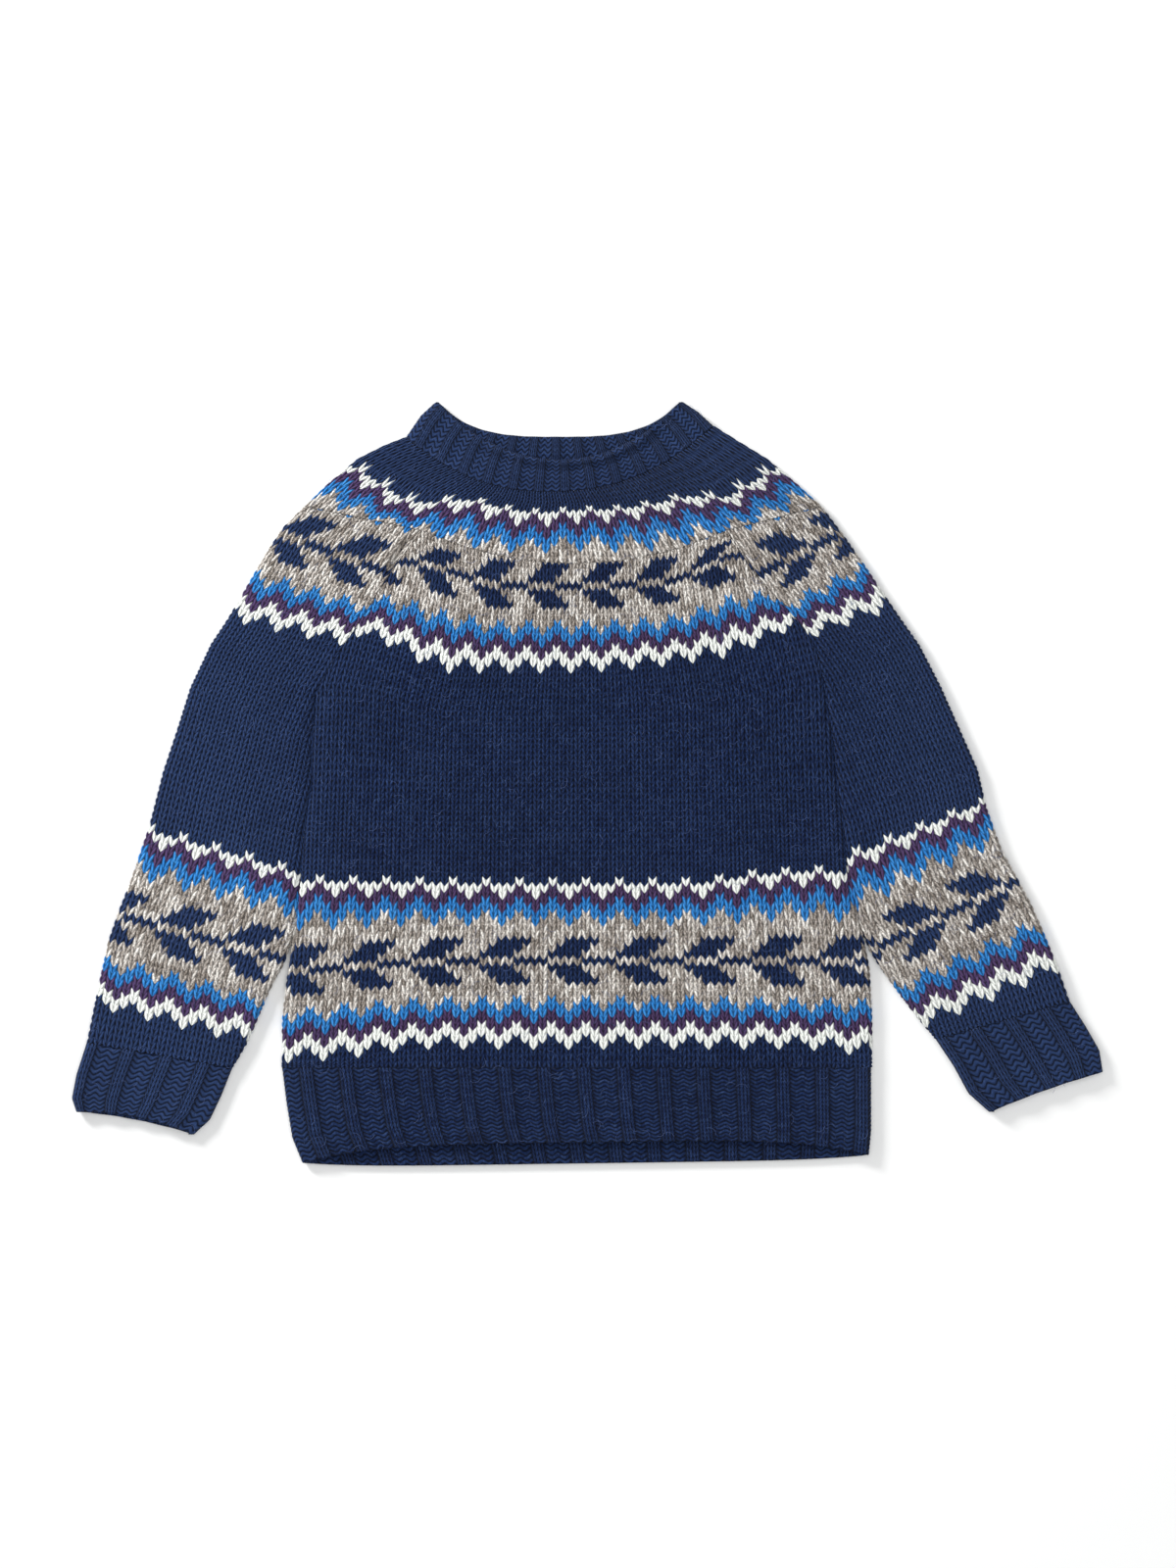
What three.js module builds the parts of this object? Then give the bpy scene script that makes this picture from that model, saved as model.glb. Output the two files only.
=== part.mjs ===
import * as THREE from 'three';

// A hand-knitted yoke jumper lying flat on its back, in millimetres.
// +X is the viewer's right, +Y points from hem to neck, +Z is up off the table.

// Driving dimensions
const WALL = 3.4;
const LAYER_GAP = 1.6;
const SEAM_GAP = 0.5;
const MID_HEIGHT = WALL + LAYER_GAP / 2;
const TOP_HEIGHT = 2 * MID_HEIGHT;
const RIB_DEPTH = 1.1;
const RIB_COLUMNS = 4;
const FOLD_STEPS = 2;
const FOLD_SPREAD = 2.2;
const PANEL_COLUMNS = 16;
const SLEEVE_COLUMNS = 7;
const YOKE_COLUMNS = 26;
const QUARTER_TURN = Math.PI / 2;

// The middle of the outline, which becomes the origin
const PLAN_CENTRE = { x: -0.5, y: -1.3 };

const WOOL = { navy: 0x1b2445, blue: 0x2377c4 };

// Body sections from the yoke seam down to the hem seam.
// The first six follow the raglans, the rest the side folds. Fold is 1 where the cloth turns under.
const BODY_SECTIONS = [
  { leftX: -146, leftY: 222, rightX: 122, rightY: 222, sag: 29, fold: 0 },
  { leftX: -168, leftY: 193, rightX: 143, rightY: 188, sag: 27, fold: 0 },
  { leftX: -186, leftY: 165, rightX: 168, rightY: 160, sag: 24, fold: 0 },
  { leftX: -205, leftY: 135, rightX: 189, rightY: 137, sag: 18, fold: 0 },
  { leftX: -227, leftY: 102, rightX: 201, rightY: 116, sag: 11, fold: 0.15 },
  { leftX: -239, leftY: 80, rightX: 206, rightY: 90, sag: 6, fold: 0.5 },
  { leftX: -243, leftY: 34, rightX: 214, rightY: 46, sag: 3, fold: 1 },
  { leftX: -243, leftY: -1, rightX: 218, rightY: 5, sag: 1, fold: 1 },
  { leftX: -249, leftY: -40, rightX: 224, rightY: -38, sag: 0, fold: 1 },
  { leftX: -253, leftY: -87, rightX: 229, rightY: -82, sag: 0, fold: 1 },
  { leftX: -259, leftY: -134, rightX: 239, rightY: -124, sag: 0, fold: 1 },
  { leftX: -263, leftY: -164, rightX: 247, rightY: -164, sag: 0, fold: 1 },
  { leftX: -268, leftY: -205, rightX: 249, rightY: -205, sag: 0, fold: 1 },
  { leftX: -269, leftY: -250, rightX: 249, rightY: -250, sag: 0, fold: 1 },
];

// Sleeve sections from the yoke seam down to the cuff seam.
// The inner end lies on the body's edge until the sleeve parts from the body.
const LEFT_SLEEVE_SECTIONS = [
  { innerX: -146, innerY: 222, outerX: -249, outerY: 243, fold: 0 },
  { innerX: -168, innerY: 193, outerX: -268, outerY: 224, fold: 0 },
  { innerX: -186, innerY: 165, outerX: -285, outerY: 198, fold: 0 },
  { innerX: -205, innerY: 135, outerX: -301, outerY: 170, fold: 0 },
  { innerX: -227, innerY: 102, outerX: -317, outerY: 143, fold: 0.15 },
  { innerX: -239, innerY: 80, outerX: -331, outerY: 122, fold: 0.5 },
  { innerX: -243, innerY: 34, outerX: -349, outerY: 84, fold: 1 },
  { innerX: -243, innerY: -1, outerX: -361, outerY: 46, fold: 1 },
  { innerX: -249, innerY: -40, outerX: -373, outerY: 10, fold: 1 },
  { innerX: -253, innerY: -87, outerX: -385, outerY: -37, fold: 1 },
  { innerX: -259, innerY: -134, outerX: -402, outerY: -87, fold: 1 },
  { innerX: -268, innerY: -159, outerX: -412, outerY: -112, fold: 1 },
  { innerX: -280, innerY: -181, outerX: -421, outerY: -138, fold: 1 },
  { innerX: -290, innerY: -205, outerX: -429, outerY: -174, fold: 1 },
  { innerX: -301, innerY: -230, outerX: -435, outerY: -203, fold: 1 },
  { innerX: -313, innerY: -250, outerX: -440, outerY: -228, fold: 1 },
];

const RIGHT_SLEEVE_SECTIONS = [
  { innerX: 122, innerY: 222, outerX: 205, outerY: 243, fold: 0 },
  { innerX: 143, innerY: 188, outerX: 224, outerY: 218, fold: 0 },
  { innerX: 168, innerY: 160, outerX: 241, outerY: 194, fold: 0 },
  { innerX: 189, innerY: 137, outerX: 257, outerY: 170, fold: 0 },
  { innerX: 201, innerY: 116, outerX: 274, outerY: 145, fold: 0.15 },
  { innerX: 206, innerY: 90, outerX: 291, outerY: 121, fold: 0.5 },
  { innerX: 214, innerY: 46, outerX: 310, outerY: 84, fold: 1 },
  { innerX: 218, innerY: 5, outerX: 326, outerY: 48, fold: 1 },
  { innerX: 224, innerY: -38, outerX: 342, outerY: 12, fold: 1 },
  { innerX: 229, innerY: -82, outerX: 350, outerY: -22, fold: 1 },
  { innerX: 239, innerY: -124, outerX: 363, outerY: -58, fold: 1 },
  { innerX: 248, innerY: -147, outerX: 376, outerY: -82, fold: 1 },
  { innerX: 260, innerY: -166, outerX: 388, outerY: -104, fold: 1 },
  { innerX: 274, innerY: -185, outerX: 400, outerY: -131, fold: 1 },
  { innerX: 290, innerY: -206, outerX: 413, outerY: -163, fold: 1 },
  { innerX: 306, innerY: -225, outerX: 423, outerY: -192, fold: 1 },
];

const LEFT_CUFF_SECTIONS = [
  { innerX: -313, innerY: -250, outerX: -440, outerY: -228 },
  { innerX: -323, innerY: -275, outerX: -449, outerY: -256 },
  { innerX: -333, innerY: -296, outerX: -453, outerY: -277 },
  { innerX: -347, innerY: -309, outerX: -449, outerY: -289 },
];

const RIGHT_CUFF_SECTIONS = [
  { innerX: 306, innerY: -225, outerX: 423, outerY: -192 },
  { innerX: 322, innerY: -249, outerX: 437, outerY: -214 },
  { innerX: 335, innerY: -273, outerX: 449, outerY: -235 },
  { innerX: 353, innerY: -289, outerX: 452, outerY: -254 },
];

// Side folds of the yoke, neckband and hem rib, each from its upper to its lower seam or edge.
const YOKE_SECTIONS = [
  { leftX: -160, leftY: 304, rightX: 110, rightY: 314 },
  { leftX: -178, leftY: 297, rightX: 134, rightY: 299 },
  { leftX: -202, leftY: 285, rightX: 157, rightY: 285 },
  { leftX: -228, leftY: 263, rightX: 183, rightY: 263 },
  { leftX: -249, leftY: 243, rightX: 205, rightY: 243 },
];

const NECKBAND_SECTIONS = [
  { leftX: -135, leftY: 334, rightX: 84, rightY: 334 },
  { leftX: -147, leftY: 323, rightX: 97, rightY: 326 },
  { leftX: -160, leftY: 304, rightX: 110, rightY: 314 },
];

const HEM_RIB_SECTIONS = [
  { leftX: -269, leftY: -250, rightX: 249, rightY: -250 },
  { leftX: -265, leftY: -282, rightX: 249, rightY: -280 },
  { leftX: -260, leftY: -312, rightX: 249, rightY: -306 },
  { leftX: -251, leftY: -334, rightX: 247, rightY: -327 },
];

// How far a seam or free edge hangs below the straight line between its two ends.
// A higher power keeps the line flatter in its middle, and a negative depth makes it rise.
const DIPS = {
  neckEdgeFront: { depth: 50, power: 2 },
  neckEdgeBack: { depth: 32, power: 3.5 },
  neckSeamFront: { depth: 53, power: 2.3 },
  neckSeamBack: { depth: 42, power: 2.8 },
  hemEdgeFront: { depth: -15, power: 4.6 },
  hemEdgeBack: { depth: 4, power: 6 },
  leftCuffEdgeFront: { depth: -6, power: 2 },
  leftCuffEdgeBack: { depth: -3, power: 2 },
  rightCuffEdge: { depth: -2, power: 2 },
};
const RAGLAN_DIP = 21;
const PANEL_DIP = { depth: 29, power: 2 };

// Soft folds and puffs of the upper layer: centre, size along and across, direction and rise.
const SOFT_FOLDS = [
  { x: -163, y: 196, along: 34, across: 7, degrees: 125, rise: -0.9 },
  { x: -150, y: 190, along: 40, across: 12, degrees: 120, rise: 0.9 },
  { x: 118, y: 172, along: 38, across: 9, degrees: 108, rise: -0.8 },
  { x: 135, y: 178, along: 40, across: 14, degrees: 125, rise: 0.8 },
  { x: -20, y: 110, along: 130, across: 60, degrees: 5, rise: 0.7 },
  { x: -120, y: -30, along: 110, across: 45, degrees: 70, rise: 0.6 },
  { x: 120, y: -60, along: 120, across: 50, degrees: 100, rise: 0.7 },
  { x: 0, y: -170, along: 150, across: 45, degrees: 0, rise: 0.6 },
  { x: -320, y: 40, along: 120, across: 35, degrees: 70, rise: 0.7 },
  { x: -360, y: -170, along: 60, across: 30, degrees: 70, rise: 0.8 },
  { x: 285, y: 20, along: 110, across: 35, degrees: 110, rise: 0.7 },
  { x: 345, y: -150, along: 60, across: 30, degrees: 115, rise: 0.8 },
  { x: -30, y: 235, along: 120, across: 22, degrees: 0, rise: 0.5 },
];

const RIBS = { hem: 15, neck: 11, cuff: 3 };

// Where the two raglans meet the yoke's lower seam, as shares of its width
const YOKE_END = YOKE_SECTIONS[YOKE_SECTIONS.length - 1];
const RAGLAN_SHARES = [BODY_SECTIONS[0].leftX, BODY_SECTIONS[0].rightX]
  .map((x) => (x - YOKE_END.leftX) / (YOKE_END.rightX - YOKE_END.leftX));

function mix(a, b, share) {
  return a + (b - a) * share;
}

function upperHeight(x, y) {
  let height = TOP_HEIGHT;
  for (const fold of SOFT_FOLDS) {
    const angle = THREE.MathUtils.degToRad(fold.degrees);
    const dx = x - fold.x;
    const dy = y - fold.y;
    const along = (dx * Math.cos(angle) + dy * Math.sin(angle)) / fold.along;
    const across = (dy * Math.cos(angle) - dx * Math.sin(angle)) / fold.across;
    height += fold.rise * Math.exp(-(along * along + across * across));
  }
  return height;
}

function hang(dip, share) {
  return dip.depth * (1 - Math.abs(2 * share - 1) ** dip.power);
}

// The seam below the yoke: straight over each sleeve and curved across the panel between them.
function yokeSeamHang(share) {
  const [from, to] = RAGLAN_SHARES;
  if (share < from) return RAGLAN_DIP * share / from;
  if (share > to) return RAGLAN_DIP * (1 - share) / (1 - to);
  return RAGLAN_DIP + hang(PANEL_DIP, (share - from) / (to - from));
}

// A hang that passes from an upper line to a lower one over the sections of a piece.
function blendedHang(upperLine, lowerLine) {
  return (share, progress) => mix(upperLine(share), lowerLine(share), progress);
}

// The shares of one section at which its columns stand: close together over the two side folds.
// Angle is a quarter turn on the flat and less where the cloth turns under at a side.
function sectionColumns(section, shares) {
  const width = Math.hypot(section.rightX - section.leftX, section.rightY - section.leftY);
  const columns = [];
  const addFold = (fold, step, fromLeft) => {
    const startAngle = QUARTER_TURN * (1 - fold);
    const angle = mix(startAngle, QUARTER_TURN, step / FOLD_STEPS);
    const turned = MID_HEIGHT * (Math.cos(startAngle) - Math.cos(angle));
    const inset = SEAM_GAP / 2 + turned + (1 - fold) * step * FOLD_SPREAD;
    const innerInset = inset + WALL * Math.cos(angle);
    const share = fromLeft ? inset / width : 1 - inset / width;
    const innerShare = fromLeft ? innerInset / width : 1 - innerInset / width;
    const seamed = fromLeft ? section.leftSeam : section.rightSeam;
    const lift = seamed ? SEAM_GAP / 2 * Math.cos(angle) ** 2 : 0;
    columns.push({ share, innerShare, angle, lift });
  };
  for (let step = 0; step <= FOLD_STEPS; step += 1) {
    addFold(section.leftFold, step, true);
  }
  for (const share of shares) {
    columns.push({ share, innerShare: share, angle: QUARTER_TURN, lift: 0 });
  }
  for (let step = FOLD_STEPS; step >= 0; step -= 1) {
    addFold(section.rightFold, step, false);
  }
  return columns;
}

// The outer and inner point of the cloth at one column of the upper or lower layer.
function clothPoint(pointAt, column, upper, furrow) {
  const rise = Math.sin(column.angle);
  const [x, y] = pointAt(column.share);
  const [innerX, innerY] = pointAt(column.innerShare);
  if (upper) {
    const outerZ = MID_HEIGHT + column.lift + (upperHeight(x, y) - MID_HEIGHT) * rise;
    return {
      outer: new THREE.Vector3(x, y, outerZ - furrow * rise),
      inner: new THREE.Vector3(innerX, innerY, outerZ - WALL * rise),
    };
  }
  const outerZ = MID_HEIGHT * (1 - rise) - column.lift;
  return {
    outer: new THREE.Vector3(x, y, outerZ),
    inner: new THREE.Vector3(innerX, innerY, outerZ + WALL * rise),
  };
}

// One layer of a piece, as rows of cloth points from its left edge to its right edge.
// Middle shares are given for the whole layer, and in a rib every other pair of columns is lower.
function layerRows(sections, options) {
  const { shares, upper, hangAt = () => 0, ribbed = false, seamed = false } = options;
  return sections.map((plain, index) => {
    const section = {
      leftFold: plain.fold ?? 1,
      rightFold: plain.fold ?? 1,
      leftSeam: seamed,
      rightSeam: seamed,
      ...plain,
    };
    const progress = index / (sections.length - 1);
    const pointAt = (share) => [
      mix(section.leftX, section.rightX, share),
      mix(section.leftY, section.rightY, share) - hangAt(share, progress, section),
    ];
    return sectionColumns(section, shares).map((column, place) => {
      const inFurrow = ribbed && place % RIB_COLUMNS >= RIB_COLUMNS / 2;
      return clothPoint(pointAt, column, upper, inFurrow ? RIB_DEPTH : 0);
    });
  });
}

function evenShares(count) {
  const shares = [];
  for (let step = 1; step < count; step += 1) {
    shares.push(step / count);
  }
  return shares;
}

// One column step on each ridge and furrow flank.
function ribShares(ribCount) {
  return evenShares(ribCount * RIB_COLUMNS + 1);
}

// Extra sections halfway between the given ones, on the straight lines that join them.
function halved(sections) {
  const result = [];
  sections.forEach((section, index) => {
    result.push(section);
    const next = sections[index + 1];
    if (!next) return;
    const between = {};
    for (const key of Object.keys(section)) {
      between[key] = mix(section[key], next[key], 0.5);
    }
    result.push(between);
  });
  return result;
}

// The first and last sections drawn in by half a seam gap.
function trimmed(sections, ends = { first: true, last: true }) {
  const result = sections.map((section) => ({ ...section }));
  const pull = (end, neighbour) => {
    for (const side of ['left', 'right']) {
      const dx = neighbour[`${side}X`] - end[`${side}X`];
      const dy = neighbour[`${side}Y`] - end[`${side}Y`];
      const share = SEAM_GAP / 2 / Math.hypot(dx, dy);
      end[`${side}X`] += dx * share;
      end[`${side}Y`] += dy * share;
    }
  };
  if (ends.first) pull(result[0], result[1]);
  if (ends.last) pull(result[result.length - 1], result[result.length - 2]);
  return result;
}

// Sleeve and cuff sections restated from left to right.
function sleeveSections(sections, innerOnRight) {
  return sections.map(({ innerX, innerY, outerX, outerY, fold = 1 }) => (innerOnRight
    ? { leftX: outerX, leftY: outerY, rightX: innerX, rightY: innerY, leftFold: 1, rightFold: fold }
    : { leftX: innerX, leftY: innerY, rightX: outerX, rightY: outerY, leftFold: fold, rightFold: 1 }
  ));
}

// Two layers joined along the fold that they share.
function joinRows(firstRows, secondRows) {
  return firstRows.map((row, index) => row.concat(secondRows[index].slice(1)));
}

function reversedRows(rows) {
  return rows.map((row) => [...row].reverse());
}

// A closed wall from rows of outer and inner points. Rows run from the neck end to the hem end.
function wallGeometry(rows, closed) {
  const positions = [];
  const indices = [];
  const rowCount = rows.length;
  const columnCount = rows[0].length;
  for (const side of ['outer', 'inner']) {
    for (const row of rows) {
      for (const point of row) positions.push(point[side].x, point[side].y, point[side].z);
    }
  }
  const outerAt = (row, column) => row * columnCount + (column % columnCount);
  const innerAt = (row, column) => rowCount * columnCount + outerAt(row, column);
  const quad = (a, b, c, d) => indices.push(a, b, c, a, c, d);
  const lastColumn = closed ? columnCount : columnCount - 1;
  for (let row = 0; row < rowCount - 1; row += 1) {
    for (let column = 0; column < lastColumn; column += 1) {
      quad(outerAt(row, column), outerAt(row + 1, column),
        outerAt(row + 1, column + 1), outerAt(row, column + 1));
      quad(innerAt(row, column), innerAt(row, column + 1),
        innerAt(row + 1, column + 1), innerAt(row + 1, column));
    }
  }
  const lastRow = rowCount - 1;
  for (let column = 0; column < lastColumn; column += 1) {
    quad(outerAt(0, column), outerAt(0, column + 1), innerAt(0, column + 1), innerAt(0, column));
    quad(outerAt(lastRow, column + 1), outerAt(lastRow, column),
      innerAt(lastRow, column), innerAt(lastRow, column + 1));
  }
  if (!closed) {
    for (let row = 0; row < lastRow; row += 1) {
      quad(outerAt(row + 1, 0), outerAt(row, 0), innerAt(row, 0), innerAt(row + 1, 0));
      quad(outerAt(row, lastColumn), outerAt(row + 1, lastColumn),
        innerAt(row + 1, lastColumn), innerAt(row, lastColumn));
    }
  }
  const geometry = new THREE.BufferGeometry();
  geometry.setAttribute('position', new THREE.Float32BufferAttribute(positions, 3));
  geometry.setIndex(indices);
  geometry.computeVertexNormals();
  return geometry;
}

const jumper = new THREE.Group();
jumper.name = 'fair_isle_jumper';
jumper.position.set(-PLAN_CENTRE.x, -PLAN_CENTRE.y, 0);

function addPiece(name, rows, closed, color) {
  const material = new THREE.MeshStandardMaterial({ color, roughness: 0.95, metalness: 0 });
  const mesh = new THREE.Mesh(wallGeometry(rows, closed), material);
  mesh.name = name;
  jumper.add(mesh);
}

// Body: one panel for each layer, which meet at the side folds
function addBody() {
  const hangAt = (share, progress, section) => hang({ depth: section.sag, power: 2 }, share);
  const frontRows = layerRows(trimmed(halved(BODY_SECTIONS)), {
    shares: evenShares(PANEL_COLUMNS), upper: true, seamed: true, hangAt,
  });
  addPiece('front', frontRows, false, WOOL.navy);
  const backRows = layerRows(trimmed(BODY_SECTIONS), {
    shares: evenShares(PANEL_COLUMNS), upper: false, seamed: true, hangAt,
  });
  addPiece('back', reversedRows(backRows), false, WOOL.navy);
}

// Sleeves: each wraps from its front raglan over the outer fold to its back raglan
function addSleeve(name, table, innerOnRight) {
  const sections = trimmed(sleeveSections(table, innerOnRight)).map((section) => ({
    ...section,
    leftSeam: !innerOnRight,
    rightSeam: innerOnRight,
  }));
  const shares = evenShares(SLEEVE_COLUMNS);
  const upperRows = layerRows(sections, { shares, upper: true });
  const lowerRows = reversedRows(layerRows(sections, { shares, upper: false }));
  const rows = innerOnRight ? joinRows(lowerRows, upperRows) : joinRows(upperRows, lowerRows);
  addPiece(name, rows, false, WOOL.navy);
}

// Rings: an upper and a lower layer in one, knitted in the round
function addRing(name, sections, shares, hangs, ribbed, color) {
  const upperRows = layerRows(sections, { shares, upper: true, hangAt: hangs.front, ribbed });
  const lowerRows = layerRows(sections, { shares, upper: false, hangAt: hangs.back });
  const around = joinRows(upperRows, reversedRows(lowerRows));
  addPiece(name, around.map((row) => row.slice(0, -1)), true, color);
}

function addYoke() {
  const hangs = {
    front: blendedHang((share) => SEAM_GAP + hang(DIPS.neckSeamFront, share), yokeSeamHang),
    back: blendedHang((share) => SEAM_GAP + hang(DIPS.neckSeamBack, share), yokeSeamHang),
  };
  const shares = evenShares(YOKE_COLUMNS).concat(RAGLAN_SHARES).sort((a, b) => a - b);
  addRing('yoke_ring', trimmed(YOKE_SECTIONS), shares, hangs, false, WOOL.blue);
}

function addNeckband() {
  const hangs = {
    front: blendedHang(
      (share) => hang(DIPS.neckEdgeFront, share),
      (share) => hang(DIPS.neckSeamFront, share),
    ),
    back: blendedHang(
      (share) => hang(DIPS.neckEdgeBack, share),
      (share) => hang(DIPS.neckSeamBack, share),
    ),
  };
  const sections = trimmed(NECKBAND_SECTIONS, { last: true });
  addRing('neckband', sections, ribShares(RIBS.neck), hangs, true, WOOL.navy);
}

// Hem ribs: front and back, the back one a little longer
function addHemRibs() {
  const straight = () => 0;
  const sections = trimmed(HEM_RIB_SECTIONS, { first: true });
  const frontRows = layerRows(sections, {
    shares: ribShares(RIBS.hem),
    upper: true,
    seamed: true,
    ribbed: true,
    hangAt: blendedHang(straight, (share) => hang(DIPS.hemEdgeFront, share)),
  });
  addPiece('hem_rib_front', frontRows, false, WOOL.navy);
  const backRows = layerRows(sections, {
    shares: evenShares(PANEL_COLUMNS / 2),
    upper: false,
    seamed: true,
    hangAt: blendedHang(straight, (share) => hang(DIPS.hemEdgeBack, share)),
  });
  addPiece('hem_rib_back', reversedRows(backRows), false, WOOL.navy);
}

function addCuff(name, table, innerOnRight, frontDip, backDip) {
  const straight = () => 0;
  const hangs = {
    front: blendedHang(straight, (share) => hang(frontDip, share)),
    back: blendedHang(straight, (share) => hang(backDip, share)),
  };
  const sections = trimmed(sleeveSections(table, innerOnRight), { first: true });
  addRing(name, sections, ribShares(RIBS.cuff), hangs, true, WOOL.navy);
}

addBody();
addSleeve('left_sleeve', LEFT_SLEEVE_SECTIONS, true);
addSleeve('right_sleeve', RIGHT_SLEEVE_SECTIONS, false);
addYoke();
addNeckband();
addHemRibs();
addCuff('left_cuff', LEFT_CUFF_SECTIONS, true, DIPS.leftCuffEdgeFront, DIPS.leftCuffEdgeBack);
addCuff('right_cuff', RIGHT_CUFF_SECTIONS, false, DIPS.rightCuffEdge, DIPS.rightCuffEdge);

export default jumper;
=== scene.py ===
import math
import bmesh
import bpy
import numpy as np
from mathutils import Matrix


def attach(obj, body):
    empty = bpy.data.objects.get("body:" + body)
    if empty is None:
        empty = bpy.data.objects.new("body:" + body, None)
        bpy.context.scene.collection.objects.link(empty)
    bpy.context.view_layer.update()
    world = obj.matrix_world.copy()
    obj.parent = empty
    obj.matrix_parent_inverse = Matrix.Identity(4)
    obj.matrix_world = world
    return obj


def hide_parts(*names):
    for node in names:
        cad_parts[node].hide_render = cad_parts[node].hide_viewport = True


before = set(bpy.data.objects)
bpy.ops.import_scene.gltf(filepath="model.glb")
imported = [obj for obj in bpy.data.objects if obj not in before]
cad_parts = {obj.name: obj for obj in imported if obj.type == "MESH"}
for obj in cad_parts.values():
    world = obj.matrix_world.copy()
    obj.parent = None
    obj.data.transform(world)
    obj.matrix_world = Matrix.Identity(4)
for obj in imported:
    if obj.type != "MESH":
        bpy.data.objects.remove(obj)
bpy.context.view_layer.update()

# A fair isle jumper lying on its back. Sizes are in millimetres until a mesh is made.
scene = bpy.context.scene
planShift = (0.5, 1.3)  # from the section tables' plan to the frame's
wall = 3.4              # thickness of the knitting
midHeight = 4.2         # height of the side folds
topHeight = 8.4         # top of the cloth above the floor
underFront = 4.4        # the upper layer's lining stays above this
seamLift = 0.25         # half the gap between the two layers at a side fold
vRise = 0.74            # how far a leg of a stitch slants, in courses
knitShare = 0.36        # plain part of a rib that is four stitches wide
print("frame loaded", flush=True)

# left edge, right edge, share of a quarter turn at the side
bodySections = [
    (-146, 222, 122, 222, 0), (-168, 193, 143, 188, 0), (-186, 165, 168, 160, 0),
    (-205, 135, 189, 137, 0), (-227, 102, 201, 116, 0.15), (-239, 80, 206, 90, 0.5),
    (-243, 34, 214, 46, 1), (-243, -1, 218, 5, 1), (-249, -40, 224, -38, 1),
    (-253, -87, 229, -82, 1), (-259, -134, 239, -124, 1), (-263, -164, 247, -164, 1),
    (-268, -205, 249, -205, 1), (-269, -250, 249, -250, 1),
]
# how high a course lies across the plan, as points of its line
bodyCourses = [
    (-50.5, [(-146, 192), (-123, 185), (-83, 171.5), (-32, 170.5), (26, 171.5), (73, 175), (100, 186),
             (122, 198)]),
    (-37, [(-215, 131), (-184, 123), (-159, 111.5), (-143, 101), (-123, 95.5), (0, 96), (40, 99),
           (67, 101.5), (94, 105), (115, 107.5), (135, 113), (155, 122.5), (175, 132), (205, 140)]),
    (-15, [(0, -11)]),
    (0, [(-240, -83), (-215, -83.5), (-150, -84.5), (-100, -85.4), (98, -85.4), (144, -78),
         (171, -76.2), (198, -74.2), (226, -75.2)]),
    (3, [(-240, -100.5), (-215, -101), (-150, -101.7), (-100, -102.7), (98, -102.7), (144, -95.5),
         (171, -93.8), (198, -92), (226, -94)]),
    (9, [(-240, -145), (-215, -143.5), (-150, -138.5), (-100, -138), (98, -138), (144, -137.5),
         (171, -136.7), (198, -136.7), (226, -138)]),
    (16, [(-240, -188), (-215, -184), (-150, -180), (-100, -178.5), (98, -178), (144, -179),
          (171, -180), (226, -180)]),
    (26, [(-272, -246.5), (-236, -245), (-205, -242), (-175, -237.5), (-143, -234.4), (190, -234.4),
          (222, -238), (250, -242)]),
    (28.5, [(0, -250)]),
]
# edge at the body, edge at the outer fold, share of a quarter turn at the body
leftSleeveSections = [
    (-146, 222, -249, 243, 0), (-168, 193, -268, 224, 0), (-186, 165, -285, 198, 0),
    (-205, 135, -301, 170, 0), (-227, 102, -317, 143, 0.15), (-239, 80, -331, 122, 0.5),
    (-243, 34, -349, 84, 1), (-243, -1, -361, 46, 1), (-249, -40, -373, 10, 1),
    (-253, -87, -385, -37, 1), (-259, -134, -402, -87, 1), (-268, -159, -412, -112, 1),
    (-280, -181, -421, -138, 1), (-290, -205, -429, -174, 1), (-301, -230, -435, -203, 1),
    (-313, -250, -440, -228, 1),
]
rightSleeveSections = [
    (122, 222, 205, 243, 0), (143, 188, 224, 218, 0), (168, 160, 241, 194, 0),
    (189, 137, 257, 170, 0), (201, 116, 274, 145, 0.15), (206, 90, 291, 121, 0.5),
    (214, 46, 310, 84, 1), (218, 5, 326, 48, 1), (224, -38, 342, 12, 1),
    (229, -82, 350, -22, 1), (239, -124, 363, -58, 1), (248, -147, 376, -82, 1),
    (260, -166, 388, -104, 1), (274, -185, 400, -131, 1), (290, -206, 413, -163, 1),
    (306, -225, 423, -192, 1),
]
# left fold and right fold of the tubes that go all round
yokeSections = [
    (-160, 304, 110, 314), (-178, 297, 134, 299), (-202, 285, 157, 285),
    (-228, 263, 183, 263), (-249, 243, 205, 243),
]
neckSections = [(-135, 334, 84, 334), (-147, 323, 97, 326), (-160, 304, 110, 314)]
hemSections = [
    (-269, -250, 249, -250), (-265, -282, 249, -280), (-260, -312, 249, -306),
    (-251, -334, 247, -327),
]
leftCuffSections = [
    (-313, -250, -440, -228), (-323, -275, -449, -256), (-333, -296, -453, -277),
    (-347, -309, -449, -289),
]
rightCuffSections = [
    (306, -225, 423, -192), (322, -249, 437, -214), (335, -273, 449, -235),
    (353, -289, 452, -254),
]
# centre, half length, half width, turn in degrees, rise of the broad soft swells
swells = [
    (-163, 196, 34, 7, 125, -0.9), (-150, 190, 40, 12, 120, 0.9), (118, 172, 38, 9, 108, -0.8),
    (135, 178, 40, 14, 125, 0.8), (-20, 110, 130, 60, 5, 0.7), (-120, -30, 110, 45, 70, 0.6),
    (120, -60, 120, 50, 100, 0.7), (0, -170, 150, 45, 0, 0.6), (-320, 40, 120, 35, 70, 0.7),
    (-360, -170, 60, 30, 70, 0.8), (285, 20, 110, 35, 110, 0.7), (345, -150, 60, 30, 115, 0.8),
    (-30, 235, 120, 22, 0, 0.5),
]

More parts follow.
